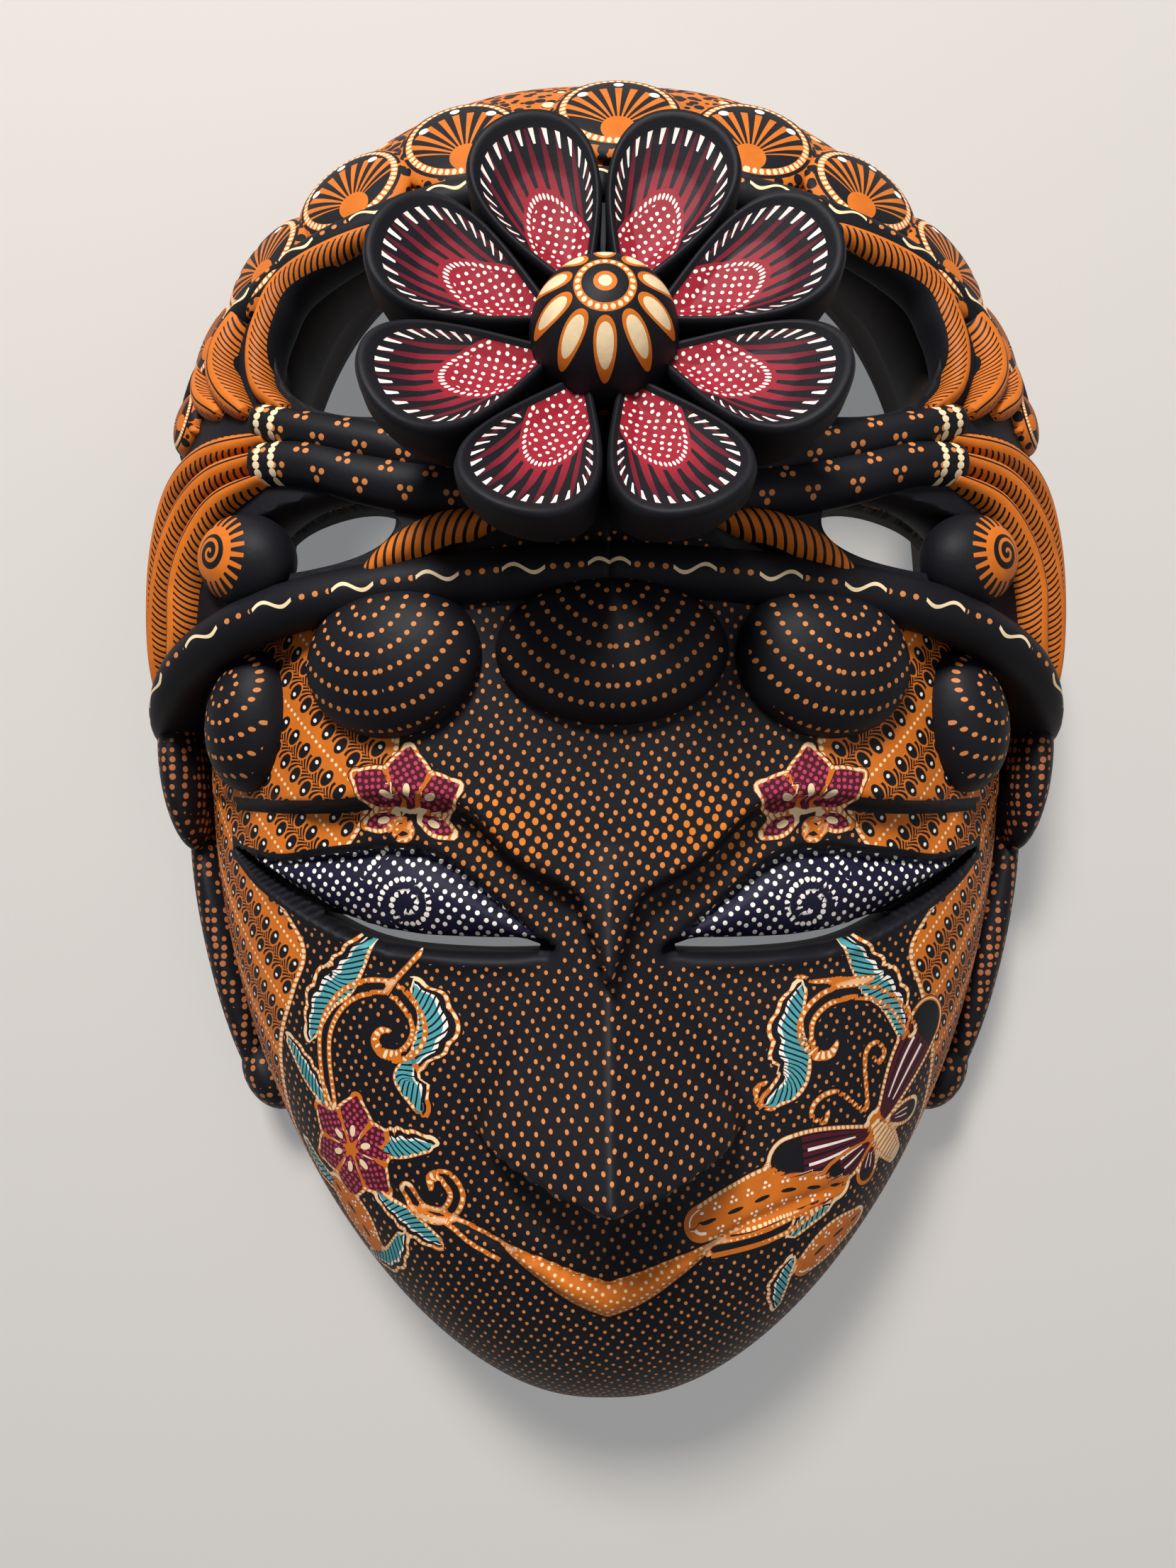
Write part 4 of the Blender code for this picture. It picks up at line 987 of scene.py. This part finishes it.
def face_drawing(x, y):
    """The painter's measures at every point of the face."""
    u, v = on_skin(x, y)
    skin = np.stack([u, v], axis=1)
    lines = [(spiral(*s, m), 0.0) for s in SPIRALS for m in (1, -1)]
    lines += [(drawn(points, m), 0.0) for points in PAIRED_LINES + MOUTH_LINES for m in (1, -1)]
    lines += [(drawn(points), 0.0) for points in LEFT_LINES + RIGHT_LINES]
    lines += [(drawn(points), LINE_GAP) for points in LEFT_DOUBLE_LINES + RIGHT_DOUBLE_LINES]
    line_off = np.full(len(x), 9.0)
    line_near = np.full(len(x), 9.0)
    line_along = np.zeros(len(x))
    for line, gap in lines:
        close = np.linalg.norm(skin - line.mean(axis=0), axis=1) < np.ptp(line, axis=0).max() + 6
        distance, along, _, whole = nearest(skin[close], line)
        line_near[close] = np.minimum(line_near[close], distance - gap)
        distance = np.abs(distance - gap * np.clip(4 * (1 - along / whole), 0, 1))
        better = distance < line_off[close]
        index = np.flatnonzero(close)[better]
        line_off[index] = distance[better]
        line_along[index] = along[better]
    leaves = []
    for kind, points, wide, side in PAIRED_LEAVES:
        leaves += [(kind, drawn(points, m), wide, side * m) for m in (1, -1)]
    leaves += [(kind, drawn(points), wide, side) for kind, points, wide, side in LEFT_LEAVES + RIGHT_LEAVES]
    centre = np.array(on_skin(np.array([FLOWER_ON_CHEEK[0]]), np.array([FLOWER_ON_CHEEK[1]]))).T[0]
    for turn in np.linspace(0.3, 0.3 + 2 * math.pi, FLOWER_PETALS, endpoint=False):
        way = np.array([math.cos(turn), math.sin(turn)])
        leaves.append((PETAL, np.array([centre + way * 1.8, centre + way * FLOWER_PETAL_REACH]), 3.6, 1))
    leaf_keys = ("leaf_along", "leaf_side", "leaf_share", "leaf_reach", "leaf_kind")
    leaf = {key: np.zeros(len(x)) for key in leaf_keys}
    leaf_off = np.full(len(x), 9.0)
    leaf_next = np.full(len(x), 9.0)
    for kind, line, wide, side in leaves:
        close = np.linalg.norm(skin - line.mean(axis=0), axis=1) < np.ptp(line, axis=0).max() + 10
        distance, along, left, whole = nearest(skin[close], line)
        share = np.clip(along / whole, 0, 1)
        base, start, span = SHAPES[kind]
        width = wide * (base + (1 - base) * np.sin(math.pi * (start + span * share)))
        off = distance - width
        if kind == FEATHER:
            scallop = 0.8 + 0.2 * np.abs(np.sin(math.pi * round(whole / 3.6) * share))
            width = width * scallop
            off = np.where(left == side, distance - width, distance + 0.1)
        better = off < leaf_off[close]
        index = np.flatnonzero(close)[better]
        leaf_next[close] = np.minimum(leaf_next[close], np.maximum(off, leaf_off[close]))
        leaf_off[index] = off[better]
        side_off = distance * left * side
        found = (along, side_off, side_off / width, share, np.full(len(along), float(kind)))
        for key, values in zip(leaf_keys, found):
            leaf[key][index] = values[better]
    edge = spline(PANEL_EDGE, 160)[::-1]
    panel = np.abs(x) - np.interp(y, edge[:, 1], edge[:, 0])
    mouth = np.minimum(height_of_line(MOUTH_LINE, x) - y, y - lip_bottom(x))
    brow_dots = np.exp(-(((np.abs(x) - 17) / 13) ** 2) - ((y + 16) / 9) ** 2)
    lower, upper, brow = [height_of_line(line, x) for line in (LOWER_LID, UPPER_LID, BROW_LINE)]
    lids = np.maximum(2.3 - np.abs(y - lower - 0.35), 0.75 - np.abs(y - upper - 0.55))
    lids = np.where((np.abs(x) > EYE_INNER_X - 1) & (np.abs(x) < EYE_OUTER_X + 1), lids, -5)
    # The black along the brow crease is partly the painter's line and partly painted shade: it is widened to
    # stand for the shadow under the brow's step.
    crease = 1.25 - np.abs(y - brow + 0.4) - np.where(np.abs(x) < 8, (8 - np.abs(x)) * 0.6, 0)
    plain = np.maximum(lids, np.where(np.abs(x) < 70, crease, -5))
    return {
        "skin_u": u, "skin_v": v, "line_off": line_off, "line_near": line_near, "line_along": line_along,
        "leaf_off": leaf_off, "seam": leaf_next - leaf_off, "plain": plain,
        "panel": panel, "eye": eye_share(x, y), "brow_dots": brow_dots,
        "lip": np.where(np.abs(x) < MOUTH_HALF_WIDTH + 1, mouth, -5.0), **leaf,
    }


def leaf_tint(p, along, side, share, reach, kind):
    """Teal feathers, maroon petals and wings, orange fans and a cream body, told apart by their kind."""
    slanted = p.add("ADD", along, p.add("MULTIPLY", side, 0.8))
    stripe = p.below(p.add("ABSOLUTE", p.add("WRAP", slanted, 0.62, -0.62)), 0.2)
    feather = p.over(TEAL, p.add("GREATER_THAN", share, 0.64), WHITE)
    feather = p.over(feather, p.add("MAXIMUM", stripe, p.add("GREATER_THAN", share, 0.8)), BLACK)

    petal = p.over(MAROON, p.scattered_dots(along, side, 1.15, 0.36, 0.3), ROSE)
    seed = p.length(p.add("DIVIDE", p.add("SUBTRACT", along, 1.9), 1.15), p.add("DIVIDE", side, 0.62))
    petal = p.over(petal, p.below(seed, 1.0), CREAM)

    barb = p.add("ABSOLUTE", p.add("WRAP", share, 0.17, -0.17))
    wing = p.over(MAROON, p.below(barb, 0.06), BLACK)
    shaft = p.below(p.add("ABSOLUTE", p.add("SUBTRACT", p.add("ABSOLUTE", share), 0.34)), 0.07)
    shaft = p.add("MULTIPLY", shaft, p.between(reach, 0.15, 0.8))
    wing = p.over(p.over(wing, shaft, WHITE), p.add("GREATER_THAN", reach, 0.86), BLACK)

    fan = ORANGE
    cell_a = p.add("WRAP", p.add("ADD", along, p.add("MULTIPLY", p.add("SIGN", side), 1.4)), 1.6, -1.6)
    cell_b = p.add("SUBTRACT", p.add("ABSOLUTE", side), 2.1)
    for shift_a, shift_b in ((-0.45, -0.3), (0.45, -0.3), (0, 0.5)):
        gap = p.length(p.add("SUBTRACT", cell_a, shift_a), p.add("SUBTRACT", cell_b, shift_b))
        fan = p.over(fan, p.below(gap, 0.27), WHITE)
    dash = p.length(p.add("DIVIDE", p.add("WRAP", along, 2.6, -2.6), 1.5), p.add("DIVIDE", side, 0.4))
    fan = p.over(fan, p.below(dash, 1.0), BLACK)

    body = p.over(CREAM, p.below(p.add("ABSOLUTE", p.add("WRAP", along, 0.6, -0.6)), 0.22), ORANGE)
    colour = feather
    for number, tint in ((PETAL, petal), (WING, wing), (FAN, fan), (BODY, body)):
        colour = p.over(colour, p.add("GREATER_THAN", kind, number - 0.5), tint)
    return colour


BROW_ORANGE = dye("#dd7a22")
GROUND_DOT_RADIUS = 0.32
BROW_DOT_RADIUS = 0.56
STRIP_START = 37.0
STRIP_PITCH = 10.4
DROP_ROW = 2.9
DROP_PITCH = 3.4
TAIL_PITCH = 0.85
DIAGONAL = 0.7071
LEAF_MARGIN = 1.2


def face_paint():
    p = Painter("wax_resist_dots_on_indigo_black")
    u, v, panel = [p.measure(k) for k in ("skin_u", "skin_v", "panel")]
    eye, lip, brow = [p.measure(k) for k in ("eye", "lip", "brow_dots")]
    line_off, line_near, line_along = [p.measure("line_" + k) for k in ("off", "near", "along")]
    leaf_off, leaf_along, side = [p.measure("leaf_" + k) for k in ("off", "along", "side")]
    share, reach, kind = [p.measure("leaf_" + k) for k in ("share", "reach", "kind")]
    free = p.add("MULTIPLY", p.add("GREATER_THAN", line_near, 1.0), p.add("GREATER_THAN", leaf_off, 1.5))
    sizes = p.add("MapRange", brow, 0.0, 1.0, GROUND_DOT_RADIUS, BROW_DOT_RADIUS)
    flat = p.add("CombineXYZ", u, p.add("MULTIPLY", v, 0.85), 0.0)
    turned = p.add("VectorRotate", flat, (0, 0, 0), (0, 0, 1), 0.6, rotation_type="AXIS_ANGLE")
    sockets = {"Vector": turned, "Scale": 1 / GROUND_PITCH, "Randomness": 0.28}
    cells = p.add("TexVoronoi", sockets, voronoi_dimensions="2D")
    ground_dots = p.below(p.add("MULTIPLY", cells, GROUND_PITCH), sizes)
    dot_tint = p.over(DOT_ORANGE, brow, BROW_ORANGE)
    colour = p.over(BLACK, p.add("MULTIPLY", ground_dots, free), dot_tint)

    side_u = p.add("ABSOLUTE", u)
    b = p.add("MULTIPLY", p.add("SUBTRACT", side_u, v), DIAGONAL)
    a = p.add("MULTIPLY", p.add("ADD", side_u, v), DIAGONAL)
    across = p.add("WRAP", p.add("SUBTRACT", b, STRIP_START), STRIP_PITCH / 2, -STRIP_PITCH / 2)
    flank = p.add("SUBTRACT", p.add("ABSOLUTE", across), DROP_ROW)
    shifted = p.add("ADD", a, p.add("MULTIPLY", p.add("SIGN", across), 1.0))
    drop_a = p.add("WRAP", shifted, DROP_PITCH / 2, -DROP_PITCH / 2)
    bowed = p.add("ADD", shifted, p.add("MULTIPLY", p.add("MULTIPLY", flank, flank), 0.3))
    tails = p.below(p.add("ABSOLUTE", p.add("WRAP", bowed, TAIL_PITCH / 2, -TAIL_PITCH / 2)), 0.25)
    strip = p.over(ORANGE, p.add("MULTIPLY", p.add("GREATER_THAN", flank, -0.6), tails), BLACK)
    drop = p.length(drop_a, p.add("MULTIPLY", flank, 0.6))
    strip = p.over(p.over(strip, p.below(drop, 1.25), ORANGE), p.below(drop, 0.98), BLACK)
    strip = p.over(strip, p.below(p.length(drop_a, p.add("ADD", flank, 0.5)), 0.36), WHITE)
    strip = p.over(strip, p.row_of_dots(a, across, 1.15, 0.3), CREAM)
    off_leaves = p.add("GREATER_THAN", leaf_off, LEAF_MARGIN)
    in_panel = p.add("MULTIPLY", p.add("GREATER_THAN", panel, 0.0), off_leaves)
    colour = p.over(colour, in_panel, strip)
    border = p.add("MULTIPLY", off_leaves, p.below(p.add("ABSOLUTE", panel), 0.5))
    colour = p.over(colour, border, ORANGE)
    edge_dots = p.row_of_dots(v, panel, 1.1, 0.42)
    colour = p.over(colour, p.add("MULTIPLY", border, edge_dots), CREAM)

    lip_tint = p.over(ORANGE, p.scattered_dots(u, v, 1.5, 0.3), CREAM)
    colour = p.over(colour, p.add("GREATER_THAN", lip, 0.1), lip_tint)
    eye_dots = p.add("MULTIPLY", p.scattered_dots(u, v, 1.75, 0.42), p.add("GREATER_THAN", line_near, 1.3))
    colour = p.over(colour, p.add("GREATER_THAN", eye, 0.5), p.over(INDIGO, eye_dots, WHITE))
    # Black lids and brow crease; the crease's black is partly painted shade under the brow's step.
    colour = p.over(colour, p.add("GREATER_THAN", p.measure("plain"), 0.0), BLACK)

    motif = leaf_tint(p, leaf_along, side, share, reach, kind)
    motif = p.over(motif, p.below(p.measure("seam"), 0.8), ORANGE)
    colour = p.over(colour, p.below(leaf_off, 0.3), motif)
    rim_off = p.add("SUBTRACT", leaf_off, 0.6)
    colour = p.over(colour, p.below(p.add("ABSOLUTE", rim_off), 0.42), ORANGE)
    colour = p.over(colour, p.row_of_dots(leaf_along, rim_off, 0.98, 0.36), CREAM)

    outside_eye = p.below(eye, 0.5)
    colour = p.over(colour, p.add("MULTIPLY", p.below(line_off, 0.5), outside_eye), ORANGE)
    dot_radius = p.add("MapRange", outside_eye, 0.0, 1.0, 0.5, 0.36)
    line_dots = p.length(p.add("WRAP", line_along, 0.58, -0.58), line_off)
    line_dots = p.below(p.add("SUBTRACT", line_dots, dot_radius), 0.0)
    colour = p.over(colour, line_dots, p.over(WHITE, outside_eye, CREAM))
    return p.finish(p.stained_behind(colour))


def crown_paint():
    p = Painter("indigo_black_crown_with_orange_mottling")
    mottled = p.over(ORANGE, p.solid_spots(MOTTLE_PITCH, 1.1, 0.9), BLACK)
    mottled = p.over(mottled, p.solid_spots(6.5, 1.25, 0.8), CREAM)
    colour = p.over(BLACK, p.add("GREATER_THAN", p.measure("panel"), 0.0), mottled)
    return p.finish(p.stained_behind(colour))


# %% [markdown]
# The two shells. Each starts as a fine grid bent over its dome and closed flat at the rim, then
# loses the hollow, the openings and the eye slits by Boolean cuts. The cuts leave true walls, dyed
# black like the carver's.

# %% Shells of the face and the crown
def dome(name, half_width, height, low_y, high_y, segments, foot):
    share = np.linspace(-1, 1, segments)
    s, t = [g.ravel() for g in np.meshgrid(share, share)]
    p, q = s * np.sqrt(1 - t * t / 2), t * np.sqrt(1 - s * s / 2)
    radius = np.hypot(p, q)
    spread = np.sin(np.minimum(radius, 1) * math.pi / 2) / np.maximum(radius, 1e-9)
    p, q = p * spread, q * spread
    y = (low_y + high_y) / 2 + q * (high_y - low_y) / 2
    x = p / np.sqrt(np.maximum(1 - q * q, 1e-9)) * half_width(y)
    edge = radius > 1 - 1e-6
    x = np.where(edge, np.sign(p) * np.where(np.abs(p) < 1e-6, 0, half_width(y)), x)
    z = np.where(edge, 0.0, height(x, y))
    points = np.stack([x, y, z], axis=1)
    index = np.arange(segments * segments).reshape(segments, segments)
    corners = [index[:-1, :-1], index[:-1, 1:], index[1:, 1:], index[1:, :-1]]
    quads = np.stack(corners, axis=-1).reshape(-1, 4)
    border = np.concatenate([index[0, :-1], index[:-1, -1], index[-1, :0:-1], index[:0:-1, 0]])
    faces = quads.tolist()
    if foot:
        start = len(points)
        points = np.vstack([points, points[border] - [0, 0, foot]])
        lowered = start + np.arange(len(border))
        after = np.roll(np.arange(len(border)), -1)
        faces += np.stack([border[after], border, lowered, lowered[after]], axis=1).tolist()
        faces.append(lowered[::-1].tolist())
    else:
        faces.append(border[::-1].tolist())
    return new_mesh(name, points, faces, {})


def prism(name, outline, low, high):
    ring = np.array(outline, float)
    area = np.sum(ring[:, 0] * np.roll(ring[:, 1], -1) - np.roll(ring[:, 0], -1) * ring[:, 1])
    ring = ring if area > 0 else ring[::-1]
    rings = np.array([np.column_stack([ring, np.full(len(ring), z)]) for z in (low, high)])
    points, faces = loft(rings)
    return new_mesh(name, points, faces, {})


def opening_outline(opening, sign):
    x, y, wide, tall, turn = opening
    angle = np.linspace(0, 2 * math.pi, 96, endpoint=False)
    a = wide * np.sign(np.cos(angle)) * np.abs(np.cos(angle)) ** 0.85
    b = tall * np.sign(np.sin(angle)) * np.abs(np.sin(angle)) ** 0.85
    tilt = math.radians(turn)
    level, rise = math.cos(tilt), math.sin(tilt)
    return [(sign * (x + u * level - v * rise), y + u * rise + v * level) for u, v in zip(a, b)]


def slit_outline(sign):
    x = np.linspace(SLIT_INNER_X, SLIT_OUTER_X, 60)
    low = height_of_line(LOWER_LID, x) + 0.1
    wide = SLIT_WIDTH * np.clip(np.minimum((x - SLIT_INNER_X + 2) / 6, (SLIT_OUTER_X - x + 2) / 8), 0.35, 1)
    return list(zip(sign * x, low)) + list(zip(sign * x, low + wide))[::-1]


def below_headband_outline():
    outer = (CROWN_HALF_WIDTH + HEADBAND_HALF_WIDTH, HEADBAND[-1][1] - HEADBAND_HALF_WIDTH)
    line = spline(HEADBAND[:-1] + [outer], 60)
    wide = CROWN_HALF_WIDTH + 30
    left = [(-x, y) for x, y in line[::-1]]
    right = [(x, y) for x, y in line[1:]]
    return left + right + [(wide, CHIN_Y), (-wide, CHIN_Y)]


def carved(shell, cutters):
    """The shell after its cuts, with one clean mesh and no modifiers left."""
    for cutter in cutters:
        modifier = shell.modifiers.new(cutter.name, "BOOLEAN")
        modifier.operation = "DIFFERENCE"
        modifier.solver = "EXACT"
        modifier.object = cutter
    bpy.context.view_layer.update()
    mesh = bpy.data.meshes.new_from_object(shell.evaluated_get(bpy.context.evaluated_depsgraph_get()))
    shell.modifiers.clear()
    shell.data = mesh
    return shell


def measured(shell, height, drawing, material):
    """Adds the painter's measures to every point of a carved shell."""
    place = np.zeros(len(shell.data.vertices) * 3)
    shell.data.vertices.foreach_get("co", place)
    x, y, z = place.reshape(-1, 3).T / MM
    measures = drawing(x, y)
    measures["depth"] = np.maximum(height(x, y) - z, 0)
    measures["inside"] = (np.abs(hollow_height(x, y) - z) < 0.6).astype(float)
    for key, values in measures.items():
        shell.data.attributes.new(key, "FLOAT", "POINT").data.foreach_set("value", values.astype(np.float32))
    shell.data.materials.clear()
    shell.data.materials.append(material)
    shell.data.shade_smooth()
    made.append(shell)
    print(shell.name, len(shell.data.polygons), "faces")


def crown_drawing(x, y):
    band = spline(CROWN_BAND, 120)
    beyond = y - np.interp(np.abs(x), band[:, 0], band[:, 1])
    return {"panel": np.where(np.abs(x) < 90, beyond, -1)}


FACE_GRID = 290
CROWN_GRID = 180
hollow = dome("hollow", hollow_half_width, hollow_height, CHIN_Y + WALL + 2, HOLLOW_TOP_Y, 70, 16)
slits = [prism(f"slit_{sign}", slit_outline(sign), 10, 80) for sign in (1, -1)]
openings = []
for number, opening in enumerate((UPPER_OPENING, LOWER_OPENING)):
    for sign in (1, -1):
        openings.append(prism(f"opening_{number}_{sign}", opening_outline(opening, sign), -20, 90))
below = prism("below_headband", below_headband_outline(), -30, 100)
face = dome("face", face_half_width, face_height, CHIN_Y, FACE_TOP_Y, FACE_GRID, 0)
crown = dome("crown", crown_half_width, crown_height, CROWN_LOW_Y, CROWN_TOP_Y, CROWN_GRID, 0)
carved(face, [hollow, *slits, *openings])
carved(crown, [below, hollow, *openings])
measured(face, face_height, face_drawing, face_paint())
measured(crown, crown_height, crown_drawing, crown_paint())
for cutter in [hollow, *slits, *openings, below]:
    bpy.data.objects.remove(cutter)

# %% [markdown]
# Every form belongs to the one carved block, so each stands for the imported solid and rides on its
# only body.

# %% Tying the forms to the solid
for piece in made:
    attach(piece, "root")
    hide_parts("mask")
print(len(made), "forms")

# %% [markdown]
# The studio: a plain pale floor that glows faintly, a painted light that brightens its shade
# under the mask and through the openings, a large soft light beyond the crown, and a weak fill.
# The camera stands a forearm over the mask, as near as a hand-held phone, which makes the nose
# and the flower look large.

# %% Floor, lights and camera
FLOOR_SIZE = 1.6
CAMERA_PLACE = (-3.5, -8.3, 260.0)
LENS = 27.04
KEY_LIGHT = ((-0.18, 0.68, 0.82), 0.24, 15)
FILL_LIGHT = ((0.5, -0.2, 0.9), 0.8, 2)
WORLD_TINT = (0.9, 0.93, 1.0, 1.0)
WORLD_STRENGTH = 0.17

floor_mesh = bpy.data.meshes.new("floor")
half = FLOOR_SIZE / 2
corners = [(-half, -half, 0), (half, -half, 0), (half, half, 0), (-half, half, 0)]
floor_mesh.from_pydata(corners, [], [(0, 1, 2, 3)])
floor = bpy.data.objects.new("floor", floor_mesh)
bpy.context.collection.objects.link(floor)
floor_paint = bpy.data.materials.new("pale_floor_with_painted_glow")
floor_paint.use_nodes = True
floor_look = floor_paint.node_tree.nodes["Principled BSDF"].inputs
floor_look["Base Color"].default_value = dye("#a9a299")
floor_look["Roughness"].default_value = 0.8
# Painted light: the floor glows faintly, lifting its shade under and around the mask, so the openings show a
# pale floor.
floor_look["Emission Color"].default_value = dye("#e6eaee")
floor_look["Emission Strength"].default_value = 0.25
floor_mesh.materials.append(floor_paint)


def soft_light(name, place, size, watts):
    light = bpy.data.lights.new(name, "AREA")
    light.size = size
    light.energy = watts
    lamp = bpy.data.objects.new(name, light)
    lamp.location = place
    lamp.rotation_euler = (-Vector(place)).to_track_quat("-Z", "Y").to_euler()
    bpy.context.collection.objects.link(lamp)


soft_light("key", *KEY_LIGHT)
soft_light("fill", *FILL_LIGHT)
world = bpy.data.worlds.new("studio")
world.use_nodes = True
world.node_tree.nodes["Background"].inputs["Color"].default_value = WORLD_TINT
world.node_tree.nodes["Background"].inputs["Strength"].default_value = WORLD_STRENGTH
bpy.context.scene.world = world
camera = bpy.data.cameras.new("camera")
camera.sensor_fit = "VERTICAL"
camera.sensor_height = 36.0
camera.lens = LENS
camera.clip_start = 0.001
eye_point = bpy.data.objects.new("camera", camera)
eye_point.location = Vector(CAMERA_PLACE) * MM
bpy.context.collection.objects.link(eye_point)
bpy.context.scene.camera = eye_point
bpy.context.scene.view_settings.view_transform = "Standard"
